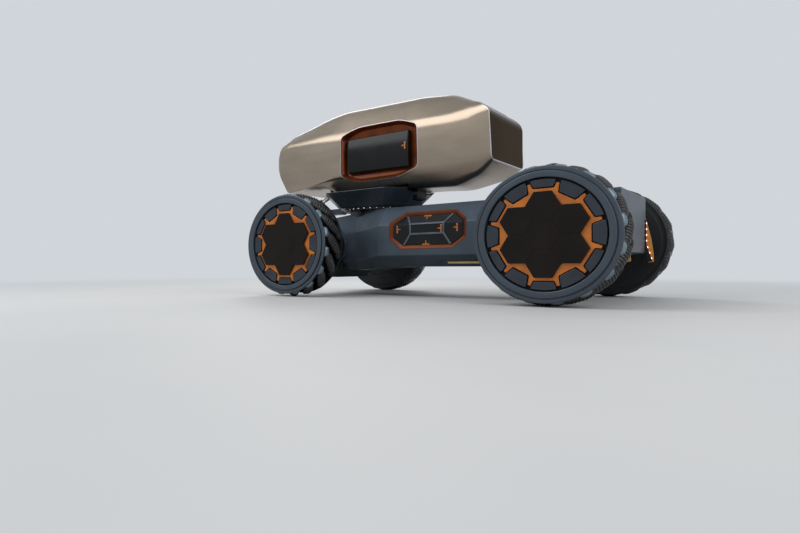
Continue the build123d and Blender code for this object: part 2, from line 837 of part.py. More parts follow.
# Drum with the dish and the stepped outer ring, and a bracket for the outer end of each roller
with BuildPart() as wheel_rim:
    for radius, low_z, high_z in (
        (drum_radius, plate_z, ring_back_z),
        (ring_inner_radius + dish_thickness, dish_floor_z - dish_thickness, ring_back_z),
        (ring_radius, ring_back_z, ring_step_z),
        (ring_step_radius, ring_back_z, face_z),
    ):
        with BuildSketch(wheel.offset(low_z)):
            Circle(radius)
        extrude(amount=high_z - low_z)
    with BuildSketch(wheel.offset(dish_floor_z)):
        Circle(ring_inner_radius)
    extrude(amount=face_z - dish_floor_z, mode=Mode.SUBTRACT)
    with BuildSketch(*roller_planes(roller_length / 2 + seat_gap, 1)):
        RegularPolygon(bracket_radius, 6)
    extrude(amount=bracket_length)
    with BuildSketch(wheel.offset(plate_z)):
        Circle(bore_radius)
    extrude(amount=bore_end_z - plate_z, mode=Mode.SUBTRACT)

# Side plate on the drum's inner end, with a bracket for the inner end of each roller
with BuildPart() as wheel_inner_plate:
    with BuildSketch(wheel.offset(-face_z)):
        Circle(ring_radius)
        Circle(drum_radius - drum_seat, mode=Mode.SUBTRACT)
    extrude(amount=inner_plate_thickness)
    with BuildSketch(*roller_planes(roller_length / 2 + seat_gap, -1)):
        RegularPolygon(bracket_radius, 6)
    extrude(amount=bracket_length)

with BuildPart() as wheel_rollers:
    for end in sides:
        for start, stop in ((0, roller_taper_length), (roller_taper_length, roller_length / 2)):
            shrink = (roller_radius(start) - roller_radius(stop)) * math.cos(math.pi / roller_sides)
            with BuildSketch(*roller_planes(start, end)):
                RegularPolygon(roller_radius(start), roller_sides)
            extrude(amount=stop - start, taper=math.degrees(math.atan(shrink / (stop - start))))

# Raised segments in the dish, between the spikes of the star
with BuildPart() as wheel_segments:
    with BuildSketch(wheel.offset(dish_floor_z)):
        Circle(segment_radius)
        with BuildLine():
            Polyline(star_points(segment_gap), close=True)
        make_face(mode=Mode.SUBTRACT)
        with PolarLocations(spike_radius, 12, start_angle=15):
            Rectangle(spike_radius / 2, spike_width * spike_taper + 2 * segment_gap, mode=Mode.SUBTRACT)
    extrude(amount=segment_height)

with BuildPart() as wheel_star:
    with BuildSketch(wheel.offset(dish_floor_z)):
        with BuildLine():
            Polyline(star_points(0), close=True)
        make_face()
    extrude(amount=star_thickness)

# Cover of seven hexagons
with BuildPart() as wheel_cover:
    with BuildSketch(wheel.offset(dish_floor_z + star_thickness)):
        RegularPolygon(hexagon_side, 6)
        with PolarLocations(hexagon_side * math.sqrt(3), 6, start_angle=30, rotate=False):
            RegularPolygon(hexagon_side, 6)
    extrude(amount=cover_thickness)

# The wheel at each corner: mirror images, so that the rollers of neighbouring wheels slant
# opposite ways
wheel_pieces = [
    ("wheel_rim", wheel_rim.part),
    ("wheel_inner_plate", wheel_inner_plate.part),
    ("wheel_rollers", wheel_rollers.part),
    ("wheel_segments", wheel_segments.part),
    ("wheel_star", wheel_star.part),
    ("wheel_cover", wheel_cover.part),
]
for name, x, side in corners:
    for title, piece in wheel_pieces:
        with BuildPart() as corner_piece:
            add(piece)
            if side < 0:
                mirror(about=Plane.XZ, mode=Mode.REPLACE)
            if x < axles_middle_x:
                mirror(about=Plane.YZ.offset(axles_middle_x), mode=Mode.REPLACE)
        corner_piece.part.label = f"{title}_{name}"
        export_step(corner_piece.part, f"parts/{title}_{name}.step")
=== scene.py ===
"""Looks of the planetary rover prototype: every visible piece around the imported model."""
import json
import math

import bmesh
import bpy
from mathutils import Matrix, Vector


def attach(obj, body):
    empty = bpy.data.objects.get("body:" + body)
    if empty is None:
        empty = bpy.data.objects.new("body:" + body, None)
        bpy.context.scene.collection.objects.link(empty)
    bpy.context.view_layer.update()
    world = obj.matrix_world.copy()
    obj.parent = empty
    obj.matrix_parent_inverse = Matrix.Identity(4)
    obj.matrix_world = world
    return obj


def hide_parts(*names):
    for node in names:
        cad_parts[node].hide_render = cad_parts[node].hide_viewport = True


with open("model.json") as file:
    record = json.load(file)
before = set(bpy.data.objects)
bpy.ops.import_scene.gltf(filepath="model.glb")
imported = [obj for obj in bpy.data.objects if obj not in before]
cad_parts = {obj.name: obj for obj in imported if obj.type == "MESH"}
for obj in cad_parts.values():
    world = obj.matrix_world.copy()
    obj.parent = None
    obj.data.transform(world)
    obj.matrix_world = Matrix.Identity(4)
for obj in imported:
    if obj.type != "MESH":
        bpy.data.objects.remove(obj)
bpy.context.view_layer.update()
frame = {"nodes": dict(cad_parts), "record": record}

MM = 0.001
BODIES = frame["record"]["behaviour"]["bodies"]
NODE_BODY = {node: body for body, nodes in BODIES.items() for node in nodes}
NODE_SLOT = {row["node"]: row["material_slot"] for row in frame["record"]["subparts"]}
SIDES = (-1, 1)

# Photograph's camera: place in metres, heading from +Y towards -X, roll, focal length and sensor in
# millimetres, and sideways shift
CAMERA_AT = (1.869, -4.085, 0.222)
CAMERA_HEADING = math.radians(43.35)
CAMERA_ROLL = math.radians(0.2)
CAMERA_LENS = 25.85
CAMERA_SENSOR = 36
CAMERA_SHIFT = 0.193
CAMERA_REACH = 200

# Backdrop as it is seen, and the world's light on the object. Then the floor: half size, the two
# distances in metres between which it fades into the backdrop, tone of the light that it sends
# back, and tones as it is seen
BACKDROP = "#e9eef4"
BACKDROP_STRENGTH = 0.78
WORLD_STRENGTH = 0.55
FLOOR_HALF = 40.0
FLOOR_FADE = (2.2, 8.0)
FLOOR_BOUNCE = "#7d756d"
FLOOR_TONES = ("#d9d9d8", "#dedddb")
# Soft square lamps: name, place, target, width in metres and power in watts
LAMPS = [
    ("key", (-2.5, -4.2, 5.0), (0, 0, 0.6), 4.0, 150),
    ("front_fill", (4.5, -2.0, 3.0), (0.4, 0, 0.6), 3.0, 55),
    ("rim", (-3.5, 4.0, 4.0), (0, 0, 0.8), 3.0, 90),
]

# All sizes below are in millimetres. An outline to be turned has corners of (r, z, rounding).
# Wheel corners: name, x of the axle, side, mirrored to the rear
FRONT_AXLE_X = 929
REAR_AXLE_X = -835
AXLE_Z = 385
WHEEL_Y = 699
CORNERS = [
    ("front_left", FRONT_AXLE_X, 1, False),
    ("front_right", FRONT_AXLE_X, -1, False),
    ("rear_left", REAR_AXLE_X, 1, True),
    ("rear_right", REAR_AXLE_X, -1, True),
]

# Wheel, with z along its own axis from the middle of its width, outwards positive
WHEEL_RADIUS = 385
RING_BACK = 93
PLATE_FRONT = -103
# Drum, dish and stepped ring of the rim in one piece
WHEEL_RING = [
    (0, 55, 0), (40.05, 55, 0), (40.05, -103, 1), (262, -103, 4), (262, 60, 6), (313, 60, 3),
    (313, RING_BACK, 3), (365, RING_BACK, 5), (365, 107, 12), (343, 107, 2), (342, 102, 0),
    (338.5, 102, 0), (337.5, 115, 4), (303, 115, 6), (303, 70, 1), (0, 70, 0),
]
# Side plate at the drum's inner end, with rolled edges
SIDE_PLATE = [
    (248, -115, 3), (330, -115, 0), (334, -112, 0), (352, -112, 0), (356, -115, 0),
    (365, -115, 4), (365, PLATE_FRONT, 4), (248, PLATE_FRONT, 1),
]
# Black sheet on the dish's floor, seen in the gaps between segments, star and ring: painted shade
# of those deep gaps
DISH_PAINTED_SHADE = [(225, 69.5, 0), (302.9, 69.5, 0), (302.9, 70.8, 0), (225, 70.8, 0)]
# Cast plate on the drum's inner side, with a rolled edge and two steps, and its radial ribs
BACK_PLATE = [
    (64, -102, 0), (64, -107, 1), (120, -107, 2), (126, -104.5, 2), (196, -104.5, 2),
    (202, -108, 2), (240, -108, 2), (244, -102, 1),
]
BACK_RIB_LOW = (118, -7, -108)
BACK_RIB_HIGH = (204, 7, -103)
BACK_RIB_COUNT = 8

# Rollers: slanted barrels on a circle, each a row of ribs of (share of the pitch, dip)
ROLLER_COUNT = 16
ROLLER_TILT = math.radians(45)
ROLLER_HALF = 95
ROLLER_SHIFT = -5
ROLLER_CIRCLE = 347
ROLLER_END = 12
ROLLER_RIBS = 9
RIB_SHAPE = [
    (0.05, 5.5), (0.15, 5.5), (0.24, 1.6), (0.36, 0.2), (0.52, 0), (0.72, 0.2), (0.84, 1.6),
    (0.93, 5.5),
]
TAPER_START = 45
TAPER_DEPTH = 9
# Cast lugs near the rollers' ends: reach along the roller's axis; then height over the rim,
# radius of the middle, and half sizes along the rim and across it
LUG_REACH = 112
LUG_LEVELS = [
    (0, 346, 33, 18), (8, 348.5, 35, 22), (18, 351, 36, 24.5), (28, 351.5, 34, 24.5),
    (37, 350, 29, 21), (44, 348, 20, 15), (48, 347, 9, 6),
]
LUG_SIDES = 24
LUG_SQUARENESS = 0.75
# Cover of seven hexagons
HEXAGON_SIDE = 88
HEXAGON_SEAM = 0.2
COVER_BACK = 98
COVER_FRONT = 112

# Hub drums, along the axle from the middle of the hull outwards
FRONT_HUB_START = 374
REAR_HUB_START = 230
HUB_RADIUS = 150
HUB_GROOVES = (470, 496, 522)
HUB_GROOVE = [(0, 0, 1.5), (-5, 3, 1), (-5, 8, 1), (0, 11, 1.5)]
HUB_FACE = 560
HUB_END = [
    (HUB_RADIUS, HUB_FACE, 6), (112, HUB_FACE, 1), (108, 556, 1), (84, 556, 1), (80, HUB_FACE, 1),
    (62, HUB_FACE, 2), (62, 595.7, 2), (40, 595.7, 1), (40, 749, 2), (0, 749, 0),
]
HUB_BOLT = [(0, -2, 0), (9, -2, 0), (9, 6, 1.2), (4.5, 6, 0.4), (4.5, 3, 0), (0, 3, 0)]
HUB_BOLT_CIRCLE = 130
HUB_BOLT_COUNT = 12

# Hull cross sections: x, half widths at the side, deck and belly, heights of the belly, of the
# side's lower and upper edge, and of the deck
HULL_SECTIONS = [
    (-1065, 170, 120, 130, 235, 285, 455, 595),
    (-588, 233, 205, 195, 190, 261, 484, 637),
    (-307, 374, 251, 304, 217, 296, 516, 655),
    (448, 374, 251, 304, 217, 296, 516, 655),
    (658, 374, 366, 330, 217, 296, 645, 655),
    (1204, 374, 366, 340, 297, 327, 645, 655),
]
HULL_STEPS = 4
HULL_HALF = 374
HULL_ROUNDING = 11
SIDE_HIGH = 516
BEVEL_NORMAL = Vector((1, 123 / 139)).normalized()
BEVEL_REACH = BEVEL_NORMAL.x * HULL_HALF + BEVEL_NORMAL.y * SIDE_HIGH
NOSE_X = 1204
# Axle bosses: x and reach to each side
BOSSES = [(FRONT_AXLE_X, 380), (REAR_AXLE_X, 236)]
BOSS_RADIUS = 162
# Payload pad on the front deck, and its tapped holes
PAD_LOW = (FRONT_AXLE_X - 200, -240, 640)
PAD_HIGH = (FRONT_AXLE_X + 180, 240, 661)
PAYLOAD_HOLES = [(FRONT_AXLE_X + x, y) for x in (-160, 140) for y in (-200, 200)]
PAYLOAD_DRILL = [
    (0, 615, 0), (5.5, 615, 0), (5.5, 659.5, 0), (8.5, 662.5, 0), (8.5, 680, 0), (0, 680, 0),
]

# Octagonal recess in each side of the hull, and its frame as (shrink of the outline, depth)
RECESS_X = 65
RECESS_HALF = 279
RECESS_LOW = 341
RECESS_HIGH = 605
RECESS_CORNER_X = 92
RECESS_CORNER_Z = 70
RECESS_DEPTH = 26
RECESS_CUT_Y = 414
PANEL_DEPTH = 12
RECESS_FRAME = [
    (0.2, 26), (0.2, 1.6), (0.8, 0.5), (2.0, 0.0), (5.0, 0.2), (7.0, 1.5), (24.0, 14.0),
    (26.0, 16.0), (27.0, 19.0), (27.0, 26.0),
]
# Marks: tiles as low and high along the stem, low and high across it; then each mark's place and
# the way its stem points
MARK_TILES = [
    (-5, 5, -26, -10), (-5, 5, -7.5, 7.5), (-5, 5, 10, 26), (8, 17, -4.5, 4.5), (20, 26, -3, 3),
]
HULL_MARKS = [
    (RECESS_X - 15, 571, (0, -1)), (RECESS_X - 6, 371, (0, 1)), (RECESS_X - 222, 482, (1, 0)),
    (RECESS_X + 103, 478, (-1, 0)), (RECESS_X + 214, 479, (-1, 0)),
]

# Nose lamps: lens, middles of the upper and lower row, red strips from foot to top, amber wedge
LENS = [(0, -1, 0), (7, -1, 0), (7, 0.8, 0.6), (5.4, 2.3, 1.2), (3, 3, 1), (0, 3.1, 0)]
LAMP_Y = 356.7
LAMP_PITCH = 37
UPPER_LAMPS = (NOSE_X + 6, 434)
LOWER_LAMPS = (NOSE_X + 22, 301)
LOWER_FALL = Vector((32, 0, -108))
RED_STRIPS = [
    ((NOSE_X + 6, 362), (NOSE_X + 6, 505)),
    ((NOSE_X + 37, 250), (NOSE_X + 8, 348)),
]
STRIP_HALF = 6
AMBER_WEDGE = [(-1, 530), (30, 392), (41, 300), (43, 243), (14, 239), (-1, 297)]
WEDGE_Y = (366, 374)

# Turret: slewing ring and its balls, pedestal, pod pivot and tilt cylinder
TURRET_X = -512
RING_LOW = 655
RING_HIGH = 675
SLEWING_RING = [
    (0, 588, 0), (225, 588, 2), (225, RING_LOW, 0), (270, RING_LOW, 1), (270, 658, 1),
    (259, 658.5, 0), (259, 671.5, 0), (270, 672, 1), (270, RING_HIGH, 1), (215, RING_HIGH, 1),
    (215, RING_LOW, 0), (0, RING_LOW, 0),
]
BALL_RADIUS = 7.5
BALL_CIRCLE = 267
BALL_Z = 665
BALL_COUNT = 34
PIVOT = (-172, 747)
BARREL_PIN = (-1172, 722)
ROD_PIN = (-940, 835)
# Pedestal at its top and foot: half length, half width, corner cuts, height
PEDESTAL_TOP = (400, 370, 140, 200, 797)
PEDESTAL_FOOT = (283, 262, 99, 142, 675.3)
PEDESTAL_ROUNDING = 7
# Trough along the pedestal's top, as (y, z)
TROUGH_HALF = 500
TROUGH = [(-195, 769), (195, 769), (221, 797), (230, 807), (-230, 807), (-221, 797)]
# Notch of the pod's pivot, in x and z from it, after a quarter circle of its radius
NOTCH_RADIUS = 32
NOTCH_HALF = 80
NOTCH = [(140, -32), (140, 32), (32, 32), (32, 130), (-32, 130)]
# Arm of the tilt cylinder, before and after the round at the barrel's pin
ARM_UNDER = [(-260, 677), (-300, 677), (-340, 655), (-680, 655), (-690, 665)]
ARM_OVER = [(-622, 700), (-350, 704), (-270, 735)]
ARM_HALF = 36
ARM_END = 30
ARM_ROUNDING = 3.5
FORK_RADIUS = 46
FORK_HALF = 17
# Half lengths of the turret's cross pins, and their radius
BARREL_PIN_HALF = 40
PIVOT_PIN_HALF = 88
PIN_RADIUS = 12
# Tilt cylinder along its own axis from the barrel's pin, and its eyes: hole, radius, half width
BARREL_TUBE = [
    (0, 17, 0), (11, 17, 0), (11, 44, 3), (27, 46, 4), (27, 100, 1), (25.5, 101, 0),
    (25.5, 104, 0), (27, 105, 1), (27, 122, 3), (17.1, 122, 1), (17.1, 57, 0), (0, 57, 0),
]
ROD_SHAFT = [(0, 60, 0), (17, 60, 1), (17, 233, 2), (11, 233, 1), (11, 243, 0), (0, 243, 0)]
BARREL_EYE = (12.05, 22, 15)
ROD_EYE = (16, 20, 12)

# Pod cross sections: x from the turret's axis, then the hull's columns
POD_SECTIONS = [
    (-815, 282, 172, 170, 990, 1058, 1162, 1216),
    (-772, 308, 178, 185, 905, 978, 1226, 1294),
    (-694, 308, 180, 190, 842, 838, 1253, 1350),
    (-500, 308, 180, 190, 856, 858, 1250, 1398),
    (-370, 308, 180, 190, 859, 882, 1247, 1435),
    (-210, 308, 180, 190, 787, 914, 1235, 1463),
    (470, 308, 180, 190, 787, 915, 1230, 1450),
    (695, 308, 185, 195, 775, 915, 1230, 1420),
    (900, 308, 278, 250, 835, 920, 1246, 1304),
    (995, 308, 288, 285, 910, 935, 1254, 1304),
]
# Rounding of the pod's edges: x, then reach at the belly, lower fold, upper fold and deck
POD_REACHES = [
    (-815, 20, 14, 40, 60),
    (-300, 22, 14, 42, 65),
    (60, 60, 65, 42, 65),
    (560, 70, 70, 45, 60),
    (995, 26, 24, 60, 60),
]
# Easing between sections over a length, shorter at the tail: (offset in lengths, weight)
POD_EASE = 55
TAIL_EASE = 14
TAIL_EASE_X = -640
TAIL_EASE_GROWTH = 0.25
EASE_WEIGHTS = ((-1, 1), (-0.5, 2), (0, 3), (0.5, 2), (1, 1))
EASE_SUM = sum(weight for offset, weight in EASE_WEIGHTS)
# Ends of the shell: rounding of the tail, spacing of its rings, and the blend into the front
POD_TAIL = -815
TAIL_ROUND = 9
TAIL_ROUND_STEPS = 4
TAIL_LENGTH = 150
TAIL_STEP = 8
SHELL_STEP = 20
POD_FRONT = 995
POD_BLEND_X = 780
POD_BLEND_STEPS = 12
# Visor that curves back above the upright front; passes that settle where the outline meets it
VISOR_LOW = 1180
VISOR_HIGH = 1304
VISOR_BACK = 95
VISOR_CURVE = 2.1
FRONT_TRIES = 30
# Bright trim round the front, gap behind it, and the glazing inside it
TRIM_DEPTH = 7
TRIM_WIDTH = 6
TRIM_GAP = 0.8
PANE_STEP = 8
PANE_FRONT = 3
PANE_BACK = 6.5
# x from the turret's axis, z and rounding of the corners of the pod's side recess
POD_RECESS = [
    (-160, 920, 40), (-40, 868, 60), (317, 873, 60), (486, 929, 40),
    (478, 1230, 36), (332, 1286, 50), (-24, 1287, 60), (-158, 1231, 40),
]
POD_RECESS_BACK = 240
POD_RECESS_FLOOR = 248
POD_CUT_Y = 360
# Bead and tray of that recess: (shrink of the outline, depth below the surface), then the tray's
# floor as (shrink, height above the floor)
POD_BEAD = [(-4.5, 3), (-4.5, -0.2), (-3.6, -1.0), (-1, -1.2), (0.6, -0.4), (0.6, 3)]
POD_TRAY = [(0.3, 1.2), (1.0, 0.4), (2.5, 0.3), (4.5, 1.5)]
POD_TRAY_FLOOR = [(24.0, 4), (25.5, 1.2), (28.0, 0)]
# Crowned panel in the recess
POD_PANEL_X = 148
POD_PANEL_HALF = 257
POD_PANEL_LOW = 938
POD_PANEL_HIGH = 1203
POD_PANEL_EDGE = 280
POD_PANEL_CROWN = 16
POD_PANEL_STEPS = 20
POD_MARK = (TURRET_X + POD_PANEL_X + 232, 1092, (-1, 0))

# CAD nodes that keep their shape, with the rounding of their edges
KEPT_SHAPES = [
    ("side_recess_panels", 3.0),
    ("side_recess_ribs", 2.0),
    ("sill_strips", 1.0),
    ("drive_housings", 8.0),
    ("light_bars", 2.0),
    ("rest_pads", 3.0),
    ("pod_brackets", 2.0),
]


# Materials

def linear(hex_colour):
    """Linear colour of an sRGB hex value."""
    channels = [int(hex_colour[i:i + 2], 16) / 255 for i in (1, 3, 5)]
    curve = [c / 12.92 if c <= 0.04045 else ((c + 0.055) / 1.055) ** 2.4 for c in channels]
    return (*curve, 1.0)


def add_node(tree, kind, links=None, **settings):
    """A shader or geometry node with its input values or links, and its settings."""
    made = tree.nodes.new(kind)
    for key, value in settings.items():
        setattr(made, key, value)
    for key, value in (links or {}).items():
        socket = made.inputs[key]
        if isinstance(value, bpy.types.NodeSocket):
            tree.links.new(value, socket)
        else:
            socket.default_value = value
    return made


def new_material(name):
    """An empty material, and its tree."""
    material = bpy.data.materials.new(name)
    material.use_nodes = True
    material.node_tree.nodes.clear()
    return material, material.node_tree


def varied(tree, low_hex, high_hex, scale, stretch=(1, 1, 1)):
    """A colour that drifts between two hex values, the noise behind it, and its coordinates."""
    place = add_node(tree, "ShaderNodeTexCoord")
    turned = add_node(tree, "ShaderNodeMapping", {
        "Vector": place.outputs["Object"], "Scale": stretch})
    noise = add_node(tree, "ShaderNodeTexNoise", {
        "Vector": turned.outputs["Vector"], "Scale": scale, "Detail": 4.0})
    ramp = add_node(tree, "ShaderNodeValToRGB", {"Fac": noise.outputs["Fac"]})
    stops = ramp.color_ramp.elements
    for stop, position, hex_colour in zip(stops, (0.35, 0.65), (low_hex, high_hex)):
        stop.position = position
        stop.color = linear(hex_colour)
    return ramp.outputs["Color"], noise.outputs["Fac"], turned.outputs["Vector"]


def spread(tree, factor, low, high):
    """A number between low and high, from a noise factor."""
    ranged = add_node(tree, "ShaderNodeMapRange", {
        "Value": factor, "From Min": 0.3, "From Max": 0.7, "To Min": low, "To Max": high})
    return ranged.outputs["Result"]


def grain(tree, vector, pitch, height):
    """A bump from fine noise, with its pitch and height in millimetres."""
    noise = add_node(tree, "ShaderNodeTexNoise", {
        "Vector": vector, "Scale": 1 / (pitch * MM), "Detail": 2.0})
    bump = add_node(tree, "ShaderNodeBump", {
        "Height": noise.outputs["Fac"], "Distance": height * MM, "Strength": 1.0})
    return bump.outputs["Normal"]


def finish(name, low_hex, high_hex, scale, rough, bump, metal, more=None, stretch=(1, 1, 1)):
    """A material: colour and gloss that drift a little, a bump of pitch and height, a metal share.

    What further sockets of the shader need comes in more.
    """
    material, tree = new_material(name)
    colour, factor, vector = varied(tree, low_hex, high_hex, scale, stretch)
    values = {"Base Color": colour, "Metallic": metal, "Roughness": spread(tree, factor, *rough)}
    if bump:
        values["Normal"] = grain(tree, vector, *bump)
    shader = add_node(tree, "ShaderNodeBsdfPrincipled", {**values, **(more or {})})
    add_node(tree, "ShaderNodeOutputMaterial", {"Surface": shader.outputs["BSDF"]})
    return material


def satin_slate_paint(name, low_hex, high_hex, rough, flake=0.3, coat=0.2, gloss=0.5):
    """Two-pack satin paint on sheet metal: an even tone, faint orange peel and a little flake."""
    return finish(name, low_hex, high_hex, 6.0, (rough - 0.04, rough + 0.05), (3, 0.05), flake, {
        "Coat Weight": coat, "Coat Roughness": 0.22, "Specular IOR Level": gloss})


def lit(name, hex_colour, strength):
    """Moulded acrylic lamp lens: one even colour that glows a little."""
    return finish(name, hex_colour, hex_colour, 40.0, (0.25, 0.35), None, 0.0, {
        "Emission Color": linear(hex_colour), "Emission Strength": strength})


def roller_rubber():
    """Moulded carbon-black rubber, rubbed to a dull shine on its ribs."""
    return finish("moulded_rubber", "#131416", "#1c1d1f", 25.0, (0.26, 0.38), (1.5, 0.1), 0.0, {
        "Specular IOR Level": 0.6})


SLOT_MATERIAL = {
    "hull_paint": satin_slate_paint(
        "satin_slate_hull_paint", "#4a5560", "#525e69", 0.36, 0.1, 0.0, 0.15),
    "rim_paint": satin_slate_paint("satin_slate_rim_paint", "#3c4651", "#444f5b", 0.34),
    "pedestal_paint": satin_slate_paint("satin_charcoal_paint", "#3c4651", "#47525e", 0.26),
    # Satin enamel with metal flake: warm orange, slightly worn brown in places
    "orange_paint": finish(
        "burnt_orange_enamel", "#bb651b", "#d67c23", 14.0, (0.32, 0.42), (2, 0.03), 0.35,
        {"Coat Weight": 0.3, "Coat Roughness": 0.2}),
    # Moulded polycarbonate tiles: near black with a warm cast and a soft shine
    "cover_gloss": finish(
        "gloss_black_polycarbonate", "#15100d", "#1d1713", 5.0, (0.3, 0.4), (6, 0.02), 0.0,
        {"Specular IOR Level": 0.16}),
    # Gloss lacquer on cast blocks: dark blue-grey that mirrors the light
    "segment_gloss": finish(
        "gloss_blue_grey_lacquer", "#232a33", "#2d3541", 9.0, (0.18, 0.26), (4, 0.02), 0.45,
        {"Coat Weight": 0.35, "Coat Roughness": 0.1}),
    # Dark glazed sensor panel: near black, smooth, with a faint smoke tone
    "panel_gloss": finish(
        "gloss_dark_panel", "#121214", "#18181b", 7.0, (0.16, 0.24), (5, 0.015), 0.0,
        {"Specular IOR Level": 0.24}),
    # Bead-blasted anodised aluminium: even satin grey with a blue cast
    "rib_metal": finish(
        "anodised_aluminium", "#555c63", "#626a72", 20.0, (0.3, 0.4), (1.5, 0.03), 0.85),
    # Satin-rolled brass strip: pale warm yellow with an even, soft shine
    "gold_trim": finish("satin_brass", "#d2b483", "#dfc59a", 15.0, (0.4, 0.5), (4, 0.01), 1.0),
    # Sand-cast parts in matt black paint: dark, with the pebbled skin of the mould; the same black
    # is painted shade on the wheels' side plates and dish floors
    "dark_casting": finish(
        "matt_black_casting", "#121417", "#1a1d20", 18.0, (0.5, 0.65), (2.5, 0.25), 0.2),
    "lamp_lens": lit("white_lamp_lens", "#fff1e0", 1.6),
    # Blued bearing steel: dark grey with fine tool marks
    "bearing_steel": finish(
        "blued_bearing_steel", "#2c2e31", "#3a3c40", 30.0, (0.28, 0.4), (1, 0.04), 0.9),
    "pad_rubber": roller_rubber(),
    # Rolled alloy sheet with a bronze-tinted polish: soft long reflections, faint drawn grain
    "pod_metal": finish(
        "polished_bronze_tinted_alloy", "#948778", "#a09384", 2.0, (0.23, 0.29), (14, 0.02), 1.0,
        stretch=(1, 1, 4)),
    # Polished aluminium edge trim: bright and cool
    "frame_metal": finish(
        "polished_aluminium_trim", "#b5b2b5", "#c2bfc2", 8.0, (0.22, 0.3), (3, 0.01), 1.0),
    # Glazing with a dark bronze mirror film: smooth, dim brown reflections that hide the inside
    "front_glass": finish(
        "bronze_mirror_glazing", "#483c30", "#4e4235", 3.0, (0.1, 0.15), (60, 0.05), 1.0,
        {"Specular Tint": linear("#bcbab8")}),
    # Ground and hard-chromed steel: bright, nearly white, very smooth
    "rod_chrome": finish(
        "hard_chrome_plating", "#d9d9d8", "#e4e4e2", 12.0, (0.08, 0.16), (2, 0.01), 1.0),
    "roller_rubber": roller_rubber(),
}
# Dark copper enamel of the recess liners: deep brown-orange, glossy on its slopes
LINER_MATERIAL = finish(
    "umber_copper_enamel", "#5e2b0d", "#783812", 10.0, (0.32, 0.42), (2, 0.03), 0.4,
    {"Specular IOR Level": 0.3})
# Die-cast and tumbled aluminium: pale, softly shining, with a blue cast
LUG_MATERIAL = finish(
    "tumbled_aluminium_casting", "#74868f", "#84969f", 16.0, (0.3, 0.42), (2, 0.05), 0.7)
AMBER_MATERIAL = lit("amber_lamp_lens", "#b87f3a", 0.25)
RED_MATERIAL = lit("red_lamp_lens", "#a8321a", 0.5)


# Making meshes

def link(name, mesh):
    """A new object at the origin that holds a mesh, a lamp or a camera."""
    made = bpy.data.objects.new(name, mesh)
    bpy.context.scene.collection.objects.link(made)
    return made


def from_work(name, work):
    """A new object from a working mesh, which is freed."""
    mesh = bpy.data.meshes.new(name)
    work.to_mesh(mesh)
    work.free()
    return link(name, mesh)


def applied(carrier, name):
    """A plain mesh object from a carrier with its modifiers, which is removed."""
    graph = bpy.context.evaluated_depsgraph_get()
    mesh = bpy.data.meshes.new_from_object(carrier.evaluated_get(graph), depsgraph=graph)
    bpy.data.objects.remove(carrier)
    mesh.name = name
    return link(name, mesh)


def modified(thing, kind, **settings):
    """The piece with one modifier applied."""
    step = thing.modifiers.new("step", kind)
    for key, value in settings.items():
        setattr(step, key, value)
    return applied(thing, thing.name)


def smooth_by_angle(thing, degrees):
    """Smooth shading, with edges sharper than an angle kept sharp."""
    mesh = thing.data
    mesh.polygons.foreach_set("use_smooth", [True] * len(mesh.polygons))
    mesh.set_sharp_from_angle(angle=math.radians(degrees))
    mesh.update()


def hardened(thing, degrees):
    """Smooth shading in which flats stay flat and sharp edges stay sharp."""
    smooth_by_angle(thing, degrees)
    return modified(thing, "WEIGHTED_NORMAL", keep_sharp=True, weight=80)


def bevelled(thing, width, segments=2, degrees=30):
    """The piece with the edges sharper than an angle rounded over a width."""
    return modified(thing, "BEVEL", width=width * MM, segments=segments, limit_method="ANGLE",
                    angle_limit=math.radians(degrees), miter_outer="MITER_ARC")


def outwards(thing):
    """Doubles merged and normals recalculated outwards."""
    work = bmesh.new()
    work.from_mesh(thing.data)
    bmesh.ops.remove_doubles(work, verts=work.verts, dist=0.01 * MM)
    bmesh.ops.recalc_face_normals(work, faces=work.faces)
    work.to_mesh(thing.data)
    work.free()


def place(thing, matrix):
    """Moves a mesh itself, so that its object stays at the origin."""
    thing.data.transform(matrix)
    if matrix.determinant() < 0:
        thing.data.flip_normals()
    thing.data.update()


def joined(name, things):
    """One mesh object from several, which are removed."""
    work = bmesh.new()
    for thing in things:
        work.from_mesh(thing.data)
        bpy.data.objects.remove(thing)
    return from_work(name, work)


def mirrored_pair(name, thing):
    """A piece of the left side together with its mirror image on the right."""
    other = link(name, thing.data.copy())
    place(other, Matrix.Diagonal((1, -1, 1, 1)))
    return joined(name, [thing, other])


def combined(thing, tools, operation):
    """The piece with tools cut away or added; the tools are removed."""
    for tool in tools:
        step = thing.modifiers.new("cut", "BOOLEAN")
        step.operation = operation
        step.solver = "EXACT"
        step.object = tool
    made = applied(thing, thing.name)
    for tool in tools:
        bpy.data.objects.remove(tool)
    return made


def cut_away(thing, tools, degrees):
    """The piece with tools cut away, cleaned and shaded."""
    made = combined(thing, tools, "DIFFERENCE")
    outwards(made)
    return hardened(made, degrees)


def dress(thing, body, slot, *nodes):
    """Puts a finished piece on its body, in its slot's material when it has none, and hides the
    nodes it stands for.
    """
    if not thing.data.materials:
        thing.data.materials.append(SLOT_MATERIAL[slot])
    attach(thing, body)
    if nodes:
        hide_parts(*nodes)


def painted(thing, material):
    """The piece in a material other than its slot's."""
    thing.data.materials.clear()
    thing.data.materials.append(material)
    return thing


def softened(node, width):
    """The CAD node's own shape with its edges rounded to a real width."""
    mesh = frame["nodes"][node].data.copy()
    mesh.materials.clear()
    work = bmesh.new()
    work.from_mesh(mesh)
    bmesh.ops.remove_doubles(work, verts=work.verts, dist=0.02 * MM)
    bmesh.ops.dissolve_limit(
        work, angle_limit=math.radians(0.5), verts=work.verts, edges=work.edges)
    work.to_mesh(mesh)
    work.free()
    made = hardened(bevelled(link(node + "_dressed", mesh), width, 3, 25), 35)
    dress(made, NODE_BODY[node], NODE_SLOT[node], node)


